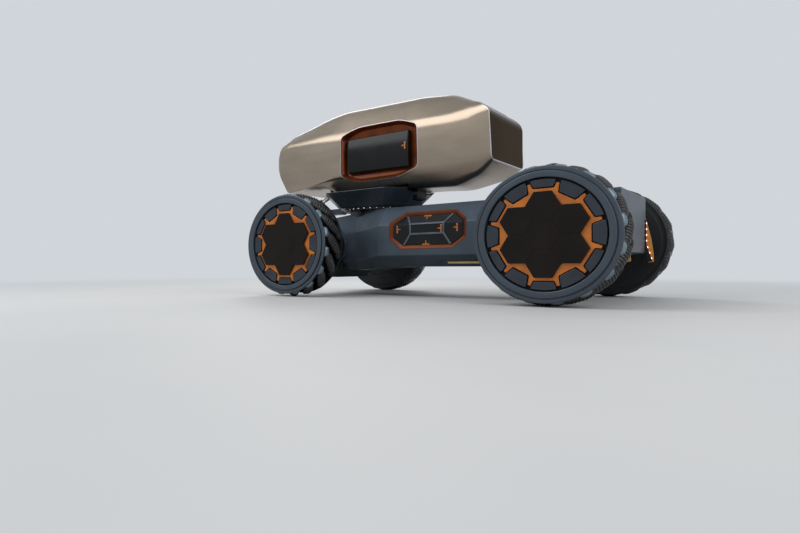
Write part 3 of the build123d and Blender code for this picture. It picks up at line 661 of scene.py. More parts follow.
def rounded(points, steps=4):
    """A closed outline of (u, v, reach) corners, each rounded over its reach along both edges."""
    outline = []
    for i, (u, v, reach) in enumerate(points):
        corner = Vector((u, v))
        if reach <= 0:
            outline.append(corner)
            continue
        before = Vector(points[i - 1][:2]) - corner
        after = Vector(points[(i + 1) % len(points)][:2]) - corner
        near = min(reach, 0.49 * before.length, 0.49 * after.length)
        first = corner + before.normalized() * near
        last = corner + after.normalized() * near
        for step in range(steps + 1):
            t = step / steps
            outline.append(first * (1 - t) ** 2 + corner * 2 * t * (1 - t) + last * t ** 2)
    return outline


def inset(outline, distance):
    """A closed outline with every edge moved inwards."""
    following = outline[1:] + outline[:1]
    area = sum(a.x * b.y - b.x * a.y for a, b in zip(outline, following))
    turn = 1 if area > 0 else -1
    moved = []
    for i, point in enumerate(outline):
        before = (point - outline[i - 1]).normalized()
        after = (following[i] - point).normalized()
        in_before = Vector((-before.y, before.x)) * turn
        in_after = Vector((-after.y, after.x)) * turn
        moved.append(point + (in_before + in_after) * distance / (1 + in_before.dot(in_after)))
    return moved


def skin(name, rings, closed=False):
    """A closed surface through rings of points: end to end, or with flat ends."""
    count = len(rings[0])
    points = [Vector(p) * MM for ring in rings for p in ring]
    faces = []
    for i in range(len(rings) if closed else len(rings) - 1):
        j = (i + 1) % len(rings)
        for k in range(count):
            m = (k + 1) % count
            faces.append((i * count + k, i * count + m, j * count + m, j * count + k))
    if not closed:
        faces.append(tuple(range(count)))
        faces.append(tuple(range(len(points) - count, len(points))))
    mesh = bpy.data.meshes.new(name)
    mesh.from_pydata(points, [], faces)
    thing = link(name, mesh)
    outwards(thing)
    return thing


def side_prism(name, outline, low_y, high_y):
    """A prism across the vehicle from an outline in x and z."""
    return skin(name, [[(x, y, z) for x, z in outline] for y in (low_y, high_y)])


def lathe(name, outline, turns):
    """A closed solid of revolution about Z from an outline of (r, z) points."""
    work = bmesh.new()
    rings = []
    for r, z in outline:
        if r < 0.001:
            rings.append([work.verts.new((0, 0, z * MM))])
            continue
        ring = []
        for i in range(turns):
            a = 2 * math.pi * i / turns
            ring.append(work.verts.new((r * MM * math.cos(a), r * MM * math.sin(a), z * MM)))
        rings.append(ring)
    for one, two in zip(rings, rings[1:] + rings[:1]):
        if len(one) == 1 and len(two) == 1:
            continue
        for i in range(turns):
            j = (i + 1) % turns
            ends = [one[i % len(one)], one[j % len(one)], two[j % len(two)], two[i % len(two)]]
            work.faces.new(list(dict.fromkeys(ends)))
    bmesh.ops.recalc_face_normals(work, faces=work.faces)
    return from_work(name, work)


def turned(name, corners, turns=96, steps=4):
    """A smoothly shaded lathe piece from (r, z, rounding) corners."""
    made = lathe(name, rounded(corners, steps), turns)
    smooth_by_angle(made, 30)
    return made


def moved(thing, at, out):
    """A piece made about Z, set at a point and pointing along a direction."""
    spin = Vector(out).to_track_quat("Z", "Y").to_matrix().to_4x4()
    place(thing, Matrix.Translation(Vector(at) * MM) @ spin)
    return thing


def arc(centre, radius, first, last, steps):
    """Points along an arc in x and z, between two angles in degrees."""
    points = []
    for i in range(steps + 1):
        a = math.radians(first + (last - first) * i / steps)
        points.append((centre[0] + radius * math.cos(a), centre[1] + radius * math.sin(a)))
    return points


# Repeats by geometry nodes

def copies_tree(name, numbers, layout):
    """Copies of one object as one real mesh, at the points and with the turns of a layout."""
    tree = bpy.data.node_groups.new(name, "GeometryNodeTree")
    face = tree.interface
    face.new_socket("Geometry", in_out="OUTPUT", socket_type="NodeSocketGeometry")
    inputs = {"Geometry": "Geometry", "Source": "Object", **numbers, "Finish": "Material"}
    for label, kind in inputs.items():
        face.new_socket(label, in_out="INPUT", socket_type="NodeSocket" + kind)
    given = add_node(tree, "NodeGroupInput").outputs
    points, turns = layout(tree, given)
    source = add_node(tree, "GeometryNodeObjectInfo", {"Object": given["Source"]})
    copies = add_node(tree, "GeometryNodeInstanceOnPoints", {
        "Points": points, "Instance": source.outputs["Geometry"], "Rotation": turns})
    real = add_node(tree, "GeometryNodeRealizeInstances", {"Geometry": copies.outputs[0]})
    coloured = add_node(tree, "GeometryNodeSetMaterial", {
        "Geometry": real.outputs[0], "Material": given["Finish"]})
    add_node(tree, "NodeGroupOutput", {"Geometry": coloured.outputs[0]})
    return tree


def ring_layout(tree, given):
    """Points on Z, each turned one step further about it."""
    index = add_node(tree, "GeometryNodeInputIndex").outputs["Index"]
    step = add_node(tree, "ShaderNodeMath", {
        0: 2 * math.pi, 1: given["Count"]}, operation="DIVIDE")
    turn = add_node(tree, "ShaderNodeMath", {0: index, 1: step.outputs[0]}, operation="MULTIPLY")
    points = add_node(tree, "GeometryNodePoints", {"Count": given["Count"]})
    spin = add_node(tree, "ShaderNodeCombineXYZ", {"Z": turn.outputs[0]})
    return points.outputs[0], spin.outputs[0]


def spots_layout(tree, given):
    """The carrier's points, each turned by its spin attribute."""
    points = add_node(tree, "GeometryNodeMeshToPoints", {"Mesh": given["Geometry"]})
    spin = add_node(
        tree, "GeometryNodeInputNamedAttribute", {"Name": "spin"}, data_type="FLOAT_VECTOR")
    return points.outputs[0], spin.outputs[0]


RING_TREE = copies_tree("turned_copies", {"Count": "Int"}, ring_layout)
SPOTS_TREE = copies_tree("copies_at_spots", {}, spots_layout)


def repeated(tree, name, mesh, inputs):
    """What a tree makes from a carrier mesh and named inputs; the source is removed."""
    carrier = link(name + "_carrier", mesh)
    array = carrier.modifiers.new("copies", "NODES")
    array.node_group = tree
    for item in tree.interface.items_tree:
        if item.in_out == "INPUT" and item.name in inputs:
            array[item.identifier] = inputs[item.name]
    made = applied(carrier, name)
    bpy.data.objects.remove(inputs["Source"])
    return made


def turned_copies(name, source, count, material):
    """Copies of a source, evenly about Z."""
    return repeated(RING_TREE, name, bpy.data.meshes.new(name), {
        "Source": source, "Count": count, "Finish": material})


def copies_at(name, source, spots, material):
    """Copies of a source at (point, outward direction) spots."""
    mesh = bpy.data.meshes.new(name)
    mesh.from_pydata([Vector(point) * MM for point, out in spots], [], [])
    spin = mesh.attributes.new("spin", "FLOAT_VECTOR", "POINT")
    for item, (point, out) in zip(spin.data, spots):
        item.vector = Vector(out).to_track_quat("Z", "Y").to_euler()
    return repeated(SPOTS_TREE, name, mesh, {"Source": source, "Finish": material})


# Wheels: made about their own axis, then carried to each corner

def wheel_matrix(x, side, rear):
    """From a wheel's own frame to a corner, mirrored like the CAD wheels."""
    return Matrix((
        (-1 if rear else 1, 0, 0, x * MM),
        (0, 0, side, side * WHEEL_Y * MM),
        (0, -1, 0, AXLE_Z * MM),
        (0, 0, 0, 1),
    ))


def roller_place(distance=0):
    """The place of a roller's own frame in the wheel, moved along the roller's axis."""
    tilt = Matrix.Rotation(-ROLLER_TILT, 4, "X")
    along = Matrix.Translation((0, 0, distance * MM))
    return Matrix.Translation((ROLLER_CIRCLE * MM, 0, ROLLER_SHIFT * MM)) @ tilt @ along


def roller():
    """One barrel-shaped roller with moulded ribs round it, in its place on the wheel."""
    outline = [(0, -ROLLER_HALF), (ROLLER_END, -ROLLER_HALF)]
    pitch = 2 * ROLLER_HALF / ROLLER_RIBS
    for rib in range(ROLLER_RIBS):
        for part, dip in RIB_SHAPE:
            z = -ROLLER_HALF + pitch * (rib + part)
            rise = z * math.sin(ROLLER_TILT)
            past = max(0.0, (abs(z) - TAPER_START) / (ROLLER_HALF - TAPER_START))
            crown = math.sqrt(WHEEL_RADIUS ** 2 - rise ** 2) - ROLLER_CIRCLE
            outline.append((crown - dip - TAPER_DEPTH * past ** 1.5, z))
    outline += [(ROLLER_END, ROLLER_HALF), (0, ROLLER_HALF)]
    made = lathe("roller_source", outline, turns=18)
    smooth_by_angle(made, 50)
    place(made, roller_place())
    return made


def lug(end):
    """A rounded cast lug that carries one end of a roller, standing on the ring or the plate."""
    middle = roller_place(end * LUG_REACH).translation / MM
    foot = RING_BACK if end > 0 else PLATE_FRONT
    rings = []
    for height, centre, half_tangent, half_radial in LUG_LEVELS:
        ring = []
        for i in range(LUG_SIDES):
            a = 2 * math.pi * i / LUG_SIDES
            c, s = (math.copysign(abs(v) ** LUG_SQUARENESS, v) for v in (math.cos(a), math.sin(a)))
            ring.append((centre + half_radial * c, half_tangent * s, foot - end * height))
        rings.append(ring)
    made = skin("lug_source", rings)
    place(made, Matrix.Rotation(math.atan2(middle.y, middle.x), 4, "Z"))
    smooth_by_angle(made, 60)
    return made


def back_rib():
    """One radial rib of the plate on the drum's inner side."""
    (low_x, low_y, low_z), (high_x, high_y, high_z) = BACK_RIB_LOW, BACK_RIB_HIGH
    outline = [(low_x, low_y), (high_x, low_y), (high_x, high_y), (low_x, high_y)]
    rib = skin("back_rib_source", [[(x, y, z) for x, y in outline] for z in (high_z, low_z)])
    return hardened(bevelled(rib, 1.5), 30)


def hexagon_cover():
    """Seven hexagonal tiles of the cover, each with rounded top edges and a fine seam between."""
    def six(radius, start):
        angles = [math.radians(start + 60 * i) for i in range(6)]
        return [(radius * math.cos(a), radius * math.sin(a)) for a in angles]

    tiles = []
    for x, y in [(0, 0)] + six(HEXAGON_SIDE * math.sqrt(3), 30):
        outline = [(x + u, y + v) for u, v in six(HEXAGON_SIDE - HEXAGON_SEAM, 0)]
        rings = [[(u, v, z) for u, v in outline] for z in (COVER_BACK, COVER_FRONT)]
        tiles.append(skin("tile", rings))
    return hardened(bevelled(joined("wheel_cover_tiles", tiles), 1.0, 3), 35)


def build_wheels():
    """Every dressed wheel piece at every corner."""
    black_casting_and_shade = SLOT_MATERIAL["dark_casting"]
    rubber = SLOT_MATERIAL["roller_rubber"]
    # The side plate keeps the rim's slate slot but is painted black: painted shade of the wheel's
    # inner side
    plate = painted(turned("wheel_side_plate", SIDE_PLATE, 160), black_casting_and_shade)
    back_ribs = turned_copies("wheel_back_ribs", back_rib(), BACK_RIB_COUNT, black_casting_and_shade)
    outer_lugs = turned_copies("wheel_outer_lugs", lug(1), ROLLER_COUNT, LUG_MATERIAL)
    inner_lugs = turned_copies("wheel_inner_lugs", lug(-1), ROLLER_COUNT, black_casting_and_shade)
    rollers = turned_copies("wheel_rollers", roller(), ROLLER_COUNT, rubber)
    pieces = [
        (turned("wheel_ring", WHEEL_RING, 160), "rim_paint", "wheel_rim_"),
        (plate, "rim_paint", "wheel_inner_plate_"),
        # Black sheet on the dish's floor: painted shade in the deep gaps round the segments and
        # star
        (turned("wheel_dish_liner", DISH_PAINTED_SHADE, 160), "dark_casting", None),
        (turned("wheel_back_plate", BACK_PLATE, 128), "dark_casting", None),
        (back_ribs, "dark_casting", None),
        (rollers, "roller_rubber", "wheel_rollers_"),
        (outer_lugs, "rib_metal", None),
        (inner_lugs, "dark_casting", None),
        (hexagon_cover(), "cover_gloss", "wheel_cover_"),
    ]
    for corner, x, side, rear in CORNERS:
        for thing, slot, node in pieces:
            copy = link(f"{thing.name}_{corner}", thing.data.copy())
            place(copy, wheel_matrix(x, side, rear))
            dress(copy, "wheel_" + corner, slot, *([node + corner] if node else []))
        softened(f"wheel_star_{corner}", 2.5)
        softened(f"wheel_segments_{corner}", 3.0)
    for thing, slot, node in pieces:
        bpy.data.objects.remove(thing)


# Hull

def section_outline(side, deck, belly, low, side_low, side_high, top):
    """The eight corners of a cross section as (y, z), from the right foot of the belly round."""
    half = [(belly, low), (side, side_low), (side, side_high), (deck, top)]
    return half + [(-y, z) for y, z in reversed(half)]


def hull_side_y(z, depth):
    """Half width of the hull's main part at a height, at a depth below its surface."""
    return min(HULL_HALF - depth, (BEVEL_REACH - depth - BEVEL_NORMAL.y * z) / BEVEL_NORMAL.x)


def fold_z(depth):
    """Height at which the side turns into the bevel, at a depth below the surface."""
    return (BEVEL_REACH - depth - BEVEL_NORMAL.x * (HULL_HALF - depth)) / BEVEL_NORMAL.y


def recess_outline(shrink, depth):
    """Outline of the hull's side recess, moved inwards, with points where the surface folds."""
    low_x, high_x = RECESS_X - RECESS_HALF, RECESS_X + RECESS_HALF
    corners = [
        (low_x + RECESS_CORNER_X, RECESS_LOW), (high_x - RECESS_CORNER_X, RECESS_LOW),
        (high_x, RECESS_LOW + RECESS_CORNER_Z), (high_x, RECESS_HIGH - RECESS_CORNER_Z),
        (high_x - RECESS_CORNER_X, RECESS_HIGH), (low_x + RECESS_CORNER_X, RECESS_HIGH),
        (low_x, RECESS_HIGH - RECESS_CORNER_Z), (low_x, RECESS_LOW + RECESS_CORNER_Z),
    ]
    points = inset([Vector(p) for p in corners], shrink)
    for after in (2, 7):
        points.insert(after + 1, Vector((points[after].x, fold_z(depth))))
    return points


def build_hull():
    """The faceted hull with its bosses, payload pad, tapped holes and side recesses."""
    sections = []
    for one, two in zip(HULL_SECTIONS, HULL_SECTIONS[1:]):
        for step in range(HULL_STEPS):
            sections.append([a + (b - a) * step / HULL_STEPS for a, b in zip(one, two)])
    sections.append(HULL_SECTIONS[-1])
    rings = [[(x, y, z) for y, z in section_outline(*values)] for x, *values in sections]
    hull = bevelled(skin("hull_body", rings), HULL_ROUNDING, 3, 7)

    extras = []
    for x, reach in BOSSES:
        boss = turned("boss", [
            (0, -reach, 0), (BOSS_RADIUS, -reach, 4), (BOSS_RADIUS, reach, 4), (0, reach, 0)])
        extras.append(moved(boss, (x, 0, AXLE_Z), (0, 1, 0)))
    (low_x, low_y, low_z), (high_x, high_y, high_z) = PAD_LOW, PAD_HIGH
    pad = side_prism(
        "pad", [(low_x, low_z), (high_x, low_z), (high_x, high_z), (low_x, high_z)], low_y, high_y)
    extras.append(bevelled(pad, 2))
    hull = combined(hull, extras, "UNION")

    cuts = []
    for side in SIDES:
        outer = [(p.x, side * RECESS_CUT_Y, p.y) for p in recess_outline(0, 0)]
        inner = [(p.x, side * hull_side_y(p.y, RECESS_DEPTH), p.y)
                 for p in recess_outline(0, RECESS_DEPTH)]
        cuts.append(skin("recess", [outer, inner]))
    for x, y in PAYLOAD_HOLES:
        cuts.append(moved(turned("drill", PAYLOAD_DRILL, turns=24), (x, y, 0), (0, 0, 1)))
    hull = painted(cut_away(hull, cuts, 32), SLOT_MATERIAL["hull_paint"])
    dress(hull, "chassis", "hull_paint", "hull")


def build_recess_liners():
    """Sloping copper-coloured frame round each side recess of the hull."""
    rings = []
    for shrink, depth in RECESS_FRAME:
        outline = recess_outline(shrink, depth)
        rings.append([(p.x, hull_side_y(p.y, depth), p.y) for p in outline])
    liner = skin("side_recess_frame", rings, closed=True)
    liner = hardened(bevelled(mirrored_pair("side_recess_frames", liner), 2.5), 40)
    dress(painted(liner, LINER_MATERIAL), "chassis", "orange_paint", "side_recess_liners")


def mark(name, at_x, at_z, towards, side_y):
    """A raised orange tally mark: a bar of three tiles, and a stem towards the panel's middle."""
    dx, dz = towards
    shapes = []
    for low_u, high_u, low_v, high_v in MARK_TILES:
        corners = [(low_u, low_v), (high_u, low_v), (high_u, high_v), (low_u, high_v)]
        outline = [(at_x + u * dx - v * dz, at_z + u * dz + v * dx) for u, v in corners]
        rings = [[(x, side_y(z) + level, z) for x, z in outline] for level in (-0.5, 0.6)]
        shapes.append(skin(name, rings))
    return joined(name, shapes)


def build_marks():
    """Plain orange marks on the panels of the hull's and the pod's recesses."""
    marks = [mark("panel_mark", *row, lambda z: hull_side_y(z, PANEL_DEPTH)) for row in HULL_MARKS]
    hull_marks = mirrored_pair("side_panel_marks", joined("panel_marks", marks))
    pod_marks = mirrored_pair("pod_panel_marks", mark("pod_mark", *POD_MARK, pod_panel_y))
    for made, body in ((hull_marks, "chassis"), (pod_marks, "pod")):
        smooth_by_angle(made, 30)
        dress(made, body, "orange_paint")


def build_hub_carriers():
    """Ribbed hub drum with its thrust collar, stub axle and bolts at each corner."""
    drums = []
    spots = []
    grooves = [(HUB_RADIUS + r, at + z, reach) for at in HUB_GROOVES for r, z, reach in HUB_GROOVE]
    for corner, x, side, rear in CORNERS:
        start = REAR_HUB_START if rear else FRONT_HUB_START
        corners = [(0, start, 0), (HUB_RADIUS, start, 0)] + grooves + HUB_END
        drums.append(moved(turned("carrier", corners), (x, 0, AXLE_Z), (0, side, 0)))
        circle = arc((x, AXLE_Z), HUB_BOLT_CIRCLE, 0, 360, HUB_BOLT_COUNT)[:-1]
        spots += [((at_x, side * HUB_FACE, at_z), (0, side, 0)) for at_x, at_z in circle]
    dress(joined("hub_drums", drums), "chassis", "dark_casting", "hub_carriers")
    steel = SLOT_MATERIAL["bearing_steel"]
    bolts = copies_at("hub_drum_bolts", turned("bolt", HUB_BOLT, 6, 2), spots, steel)
    dress(bolts, "chassis", "bearing_steel")


def build_lamps():
    """Domed lamp lenses on the light bars, and the red strips behind them."""
    strips = []
    spots = []
    for side in SIDES:
        y = side * LAMP_Y
        for (foot_x, foot_z), (top_x, top_z) in RED_STRIPS:
            across = [(foot_x - 1, foot_z), (foot_x + 0.7, foot_z),
                      (top_x + 0.7, top_z), (top_x - 1, top_z)]
            strips.append(side_prism("strip", across, y - STRIP_HALF, y + STRIP_HALF))
        x, z = UPPER_LAMPS
        spots += [((x, y, z + LAMP_PITCH * (i - 1.5)), (1, 0, 0)) for i in range(4)]
        middle = Vector((LOWER_LAMPS[0], y, LOWER_LAMPS[1]))
        pitch = LOWER_FALL.normalized() * LAMP_PITCH
        out = (-LOWER_FALL.z, 0, LOWER_FALL.x)
        spots += [(middle + pitch * i, out) for i in (-1, 0, 1)]
    strips = joined("lamp_strips", strips)
    smooth_by_angle(strips, 30)
    dress(painted(strips, RED_MATERIAL), "chassis", "lamp_lens")
    lens = turned("lens", LENS, 20, 2)
    lenses = copies_at("lamp_lenses", lens, spots, SLOT_MATERIAL["lamp_lens"])
    smooth_by_angle(lenses, 50)
    dress(lenses, "chassis", "lamp_lens", "light_dots")


def build_fins():
    """Amber lamp wedges at the nose's outer edges, glowing along their length."""
    outline = [(NOSE_X + x, z) for x, z in AMBER_WEDGE]
    fins = mirrored_pair("amber_lamp_wedges", side_prism("fin", outline, *WEDGE_Y))
    fins = hardened(bevelled(fins, 1.5), 35)
    dress(painted(fins, AMBER_MATERIAL), "chassis", "orange_paint", "light_fins")


def build_slewing_ring():
    """Fixed half of the slewing ring with its flanges, and the balls between them."""
    ring = turned("slewing_ring_race", SLEWING_RING, turns=128)
    moved(ring, (TURRET_X, 0, 0), (0, 0, 1))
    dress(ring, "chassis", "bearing_steel", "slewing_ring")
    ball = lathe("ball", arc((0, BALL_Z), BALL_RADIUS, -90, 90, 10), turns=16)
    place(ball, Matrix.Translation((BALL_CIRCLE * MM, 0, 0)))
    smooth_by_angle(ball, 80)
    balls = turned_copies("slewing_ring_balls", ball, BALL_COUNT, SLOT_MATERIAL["rod_chrome"])
    place(balls, Matrix.Translation((TURRET_X * MM, 0, 0)))
    dress(balls, "chassis", "rod_chrome")


# Pedestal and tilt cylinder

def chamfered(half_x, half_y, cut_x, cut_y, z):
    """Eight corners of a rectangle with its corners cut, about the turret's axis."""
    quarter = [(half_x, half_y - cut_y), (half_x - cut_x, half_y)]
    back = [(-x, y) for x, y in reversed(quarter)]
    outline = quarter + back + [(-x, -y) for x, y in quarter + back]
    return [(TURRET_X + x, y, z) for x, y in outline]


def cross_pin(name, at, half):
    """A pin across the vehicle with chamfered ends."""
    pin = turned(name, [
        (0, -half, 0), (PIN_RADIUS - 2, -half, 1.5), (PIN_RADIUS, 2 - half, 0),
        (PIN_RADIUS, half - 2, 0), (PIN_RADIUS - 2, half, 1.5), (0, half, 0),
    ], 32)
    moved(pin, (at[0], 0, at[1]), (0, 1, 0))
    dress(pin, "turret", "bearing_steel")


def build_pedestal():
    """Faceted pedestal with its trough, pivot notch, cylinder arm and pins."""
    body = skin("pedestal_body", [chamfered(*PEDESTAL_TOP), chamfered(*PEDESTAL_FOOT)])
    ends = (TURRET_X - TROUGH_HALF, TURRET_X + TROUGH_HALF)
    trough = skin("trough", [[(x, y, z) for y, z in TROUGH] for x in ends])
    sides = [(PIVOT[0] + x, PIVOT[1] + z) for x, z in NOTCH]
    outline = arc(PIVOT, NOTCH_RADIUS, 180, 270, 8) + sides
    notch = side_prism("notch", outline, -NOTCH_HALF, NOTCH_HALF)
    body = cut_away(bevelled(body, PEDESTAL_ROUNDING, 3, 20), [trough, notch], 32)
    dress(body, "turret", "pedestal_paint", "pedestal")

    under, over = ([(TURRET_X + x, z) for x, z in row] for row in (ARM_UNDER, ARM_OVER))
    outline = under + arc(BARREL_PIN, ARM_END, 180, 0, 14) + over
    arm = bevelled(side_prism("cylinder_arm", outline, -ARM_HALF, ARM_HALF), ARM_ROUNDING)
    circle = arc(BARREL_PIN, FORK_RADIUS, 0, 360, 32)[:-1]
    fork = side_prism("slot", circle, -FORK_HALF, FORK_HALF)
    dress(cut_away(arm, [fork], 35), "turret", "pedestal_paint")
    cross_pin("barrel_pin", BARREL_PIN, BARREL_PIN_HALF)
    cross_pin("pivot_pin", PIVOT, PIVOT_PIN_HALF)


def eye(name, at, hole, radius, half):
    """A bored eye at the end of the cylinder or its rod."""
    made = turned(
        name, [(hole, -half, 1.5), (radius, -half, 2), (radius, half, 2), (hole, half, 1.5)], 48)
    return moved(made, (at[0], 0, at[1]), (0, 1, 0))


def build_cylinder():
    """Barrel and chromed rod of the tilt cylinder."""
    start = Vector((BARREL_PIN[0], 0, BARREL_PIN[1]))
    along = Vector((ROD_PIN[0], 0, ROD_PIN[1])) - start
    barrel = moved(turned("barrel_tube", BARREL_TUBE, 48), start, along)
    rod = moved(turned("rod_shaft", ROD_SHAFT, 48), start, along)
    barrel = joined("tilt_cylinder_barrel", [barrel, eye("barrel_eye", BARREL_PIN, *BARREL_EYE)])
    rod = joined("tilt_cylinder_rod", [rod, eye("rod_eye", ROD_PIN, *ROD_EYE)])
    dress(barrel, "tilt_barrel", "dark_casting", "actuator_barrel")
    dress(rod, "tilt_rod", "rod_chrome", "actuator_rod")


# Pod

def row_at(table, x):
    """A table's values at a place along the pod, straight between its rows."""
    for one, two in zip(table, table[1:]):
        if x <= two[0]:
            t = (x - one[0]) / (two[0] - one[0])
            return [a + (b - a) * t for a, b in zip(one[1:], two[1:])]
    return list(table[-1][1:])


def pod_outline(x):
    """Rounded cross section of the pod at a place along it, eased between the table's rows."""
    tail_ease = TAIL_EASE + TAIL_EASE_GROWTH * max(0, x - TAIL_EASE_X)
    ease = max(0.0, min(POD_EASE, tail_ease, x - POD_TAIL, POD_FRONT - x))
    values = [0.0] * 7
    for offset, weight in EASE_WEIGHTS:
        for i, value in enumerate(row_at(POD_SECTIONS, x + ease * offset)):
            values[i] += value * weight / EASE_SUM
    reaches = row_at(POD_REACHES, x)
    corners = section_outline(*values)
    return rounded([(y, z, r) for (y, z), r in zip(corners, reaches + reaches[::-1])], steps=8)


def front_x(z, back):
    """The pod's upright front, and the visor that curves back above it."""
    rise = min(1.0, max(0.0, z - VISOR_LOW) / (VISOR_HIGH - VISOR_LOW))
    return POD_FRONT - back - VISOR_BACK * rise ** VISOR_CURVE


def front_ring(back):
    """Outline of the pod where it meets its front surface, as (x, y, z) points."""
    ring = []
    for i in range(len(pod_outline(0))):
        x = POD_FRONT - back
        for _ in range(FRONT_TRIES):
            x = front_x(pod_outline(x)[i].y, back)
        point = pod_outline(x)[i]
        ring.append(Vector((x, point.x, point.y)))
    return ring


def flat_inset(ring, distance):
    """The front outline as (y, z) points, moved inwards."""
    return inset([Vector((p.y, p.z)) for p in ring], distance)


def pod_side_y(x, z):
    """Half width of the pod at a place along it and a height."""
    outline = [p for p in pod_outline(x) if p.x > 0]
    best = 0.0
    for a, b in zip(outline, outline[1:]):
        if min(a.y, b.y) <= z <= max(a.y, b.y) and abs(a.y - b.y) > 1e-6:
            best = max(best, a.x + (b.x - a.x) * (z - a.y) / (b.y - a.y))
    return best


def pod_panel_y(z):
    """Surface of the crowned panel in the pod's recess at a height."""
    middle = (POD_PANEL_LOW + POD_PANEL_HIGH) / 2
    half = (POD_PANEL_HIGH - POD_PANEL_LOW) / 2
    radius = (half ** 2 + POD_PANEL_CROWN ** 2) / (2 * POD_PANEL_CROWN)
    return POD_PANEL_EDGE + POD_PANEL_CROWN - radius + math.sqrt(radius ** 2 - (z - middle) ** 2)


def pod_recess_outline():
    """Rounded outline of the recess in the pod's side, in x and z."""
    return rounded([(TURRET_X + x, z, reach) for x, z, reach in POD_RECESS], 6)


def build_pod_shell():
    """Smooth polished shell with its side recesses cut out and its front left to the trim."""
    sections = []
    for step in range(TAIL_ROUND_STEPS + 1):
        a = math.radians(90 * step / TAIL_ROUND_STEPS)
        x = POD_TAIL + TAIL_ROUND * (1 - math.cos(a))
        sections.append((x, inset(pod_outline(x), TAIL_ROUND * (1 - math.sin(a)))))
    x = POD_TAIL + TAIL_ROUND + 6
    while x < POD_BLEND_X:
        sections.append((x, pod_outline(x)))
        x += TAIL_STEP if x < POD_TAIL + TAIL_LENGTH else SHELL_STEP
    rings = [[(TURRET_X + x, y, z) for y, z in outline] for x, outline in sections]
    ends = [point.x for point in front_ring(TRIM_DEPTH + TRIM_GAP)]
    for step in range(POD_BLEND_STEPS + 1):
        ring = []
        for i, end in enumerate(ends):
            x = POD_BLEND_X + (end - POD_BLEND_X) * step / POD_BLEND_STEPS
            point = pod_outline(x)[i]
            ring.append((TURRET_X + x, point.x, point.y))
        rings.append(ring)
    outline = pod_recess_outline()
    cuts = [side_prism("recess", outline, side * POD_RECESS_BACK, side * POD_CUT_Y)
            for side in SIDES]
    shell = combined(skin("pod_body", rings), cuts, "DIFFERENCE")
    outwards(shell)
    smooth_by_angle(shell, 32)
    dress(shell, "pod", "pod_metal", "pod_shell")


def build_pod_recess():
    """Bead, flared copper-coloured tray and crowned dark panel in each side of the pod."""
    outline = pod_recess_outline()

    def row(shrink, depth):
        points = inset(outline, shrink)
        return [(p.x, pod_side_y(p.x - TURRET_X, p.y) - depth, p.y) for p in points]

    def level(shrink, y):
        return [(p.x, y, p.y) for p in inset(outline, shrink)]

    bead = skin("pod_bead", [row(*values) for values in POD_BEAD], closed=True)
    bead = mirrored_pair("pod_recess_beads", bead)
    smooth_by_angle(bead, 40)
    dress(bead, "pod", "frame_metal")

    rings = [level(0.3, POD_RECESS_BACK + 0.3)] + [row(*values) for values in POD_TRAY]
    rings += [level(shrink, POD_RECESS_FLOOR + rise) for shrink, rise in POD_TRAY_FLOOR]
    tray = mirrored_pair("pod_recess_trays", skin("pod_tray", rings))
    smooth_by_angle(tray, 40)
    dress(painted(tray, LINER_MATERIAL), "pod", "orange_paint", "pod_recess_liners")

    low, high = POD_PANEL_LOW, POD_PANEL_HIGH
    heights = [low + (high - low) * i / POD_PANEL_STEPS for i in range(POD_PANEL_STEPS + 1)]
    profile = [(POD_RECESS_FLOOR, high), (POD_RECESS_FLOOR, low)]
    profile += [(pod_panel_y(z), z) for z in heights]
    middle = TURRET_X + POD_PANEL_X
    ends = [[(middle + x, y, z) for y, z in profile] for x in (-POD_PANEL_HALF, POD_PANEL_HALF)]
    panel = bevelled(mirrored_pair("pod_recess_panel_pair", skin("pod_panel", ends)), 9, 4, 40)
    dress(hardened(panel, 35), "pod", "panel_gloss", "pod_recess_panels")


def build_pod_front():
    """Bright trim round the pod's front and visor, and the dark mirror glazing in it."""
    outer = front_ring(0)
    back = front_ring(TRIM_DEPTH)
    trim = skin("pod_front_trim", [
        [(TURRET_X + front_x(z, depth), y, z) for y, z in flat_inset(base, shrink)]
        for base, shrink, depth in (
            (back, 0, TRIM_DEPTH), (outer, 0, 1.5), (outer, 0.4, 0.4), (outer, 1.5, 0),
            (outer, TRIM_WIDTH - 1.5, 0), (outer, TRIM_WIDTH - 0.4, 0.4),
            (outer, TRIM_WIDTH, 1.5), (back, TRIM_WIDTH, TRIM_DEPTH),
        )
    ], closed=True)
    smooth_by_angle(trim, 50)
    dress(trim, "pod", "frame_metal", "pod_front_frame")

    half = [p for p in flat_inset(outer, TRIM_WIDTH + 0.2) if p.x > 0]
    rings = []
    for a, b in zip(half, half[1:] + half[-1:]):
        steps = max(1, int((b.y - a.y) // PANE_STEP))
        for step in range(steps):
            y, z = a + (b - a) * step / steps
            near, deep = (TURRET_X + front_x(z, depth) for depth in (PANE_FRONT, PANE_BACK))
            rings.append([(near, -y, z), (near, y, z), (deep, y, z), (deep, -y, z)])
    pane = skin("pod_front_pane", rings)
    smooth_by_angle(pane, 20)
    dress(pane, "pod", "front_glass", "pod_front_glass")


def paint_kept_nodes():
    """The material of each CAD node, by its slot."""
    for node, thing in frame["nodes"].items():
        painted(thing, SLOT_MATERIAL[NODE_SLOT[node]])


# Stage, light and camera

def seen_ray(tree):
    """One for camera, glossy and transmission rays, nought for others."""
    path = add_node(tree, "ShaderNodeLightPath")
    mirrored = add_node(tree, "ShaderNodeMath", {
        0: path.outputs["Is Glossy Ray"], 1: path.outputs["Is Transmission Ray"]},
        operation="MAXIMUM")
    seen = add_node(tree, "ShaderNodeMath", {
        0: path.outputs["Is Camera Ray"], 1: mirrored.outputs[0]}, operation="MAXIMUM")
    return seen.outputs[0]


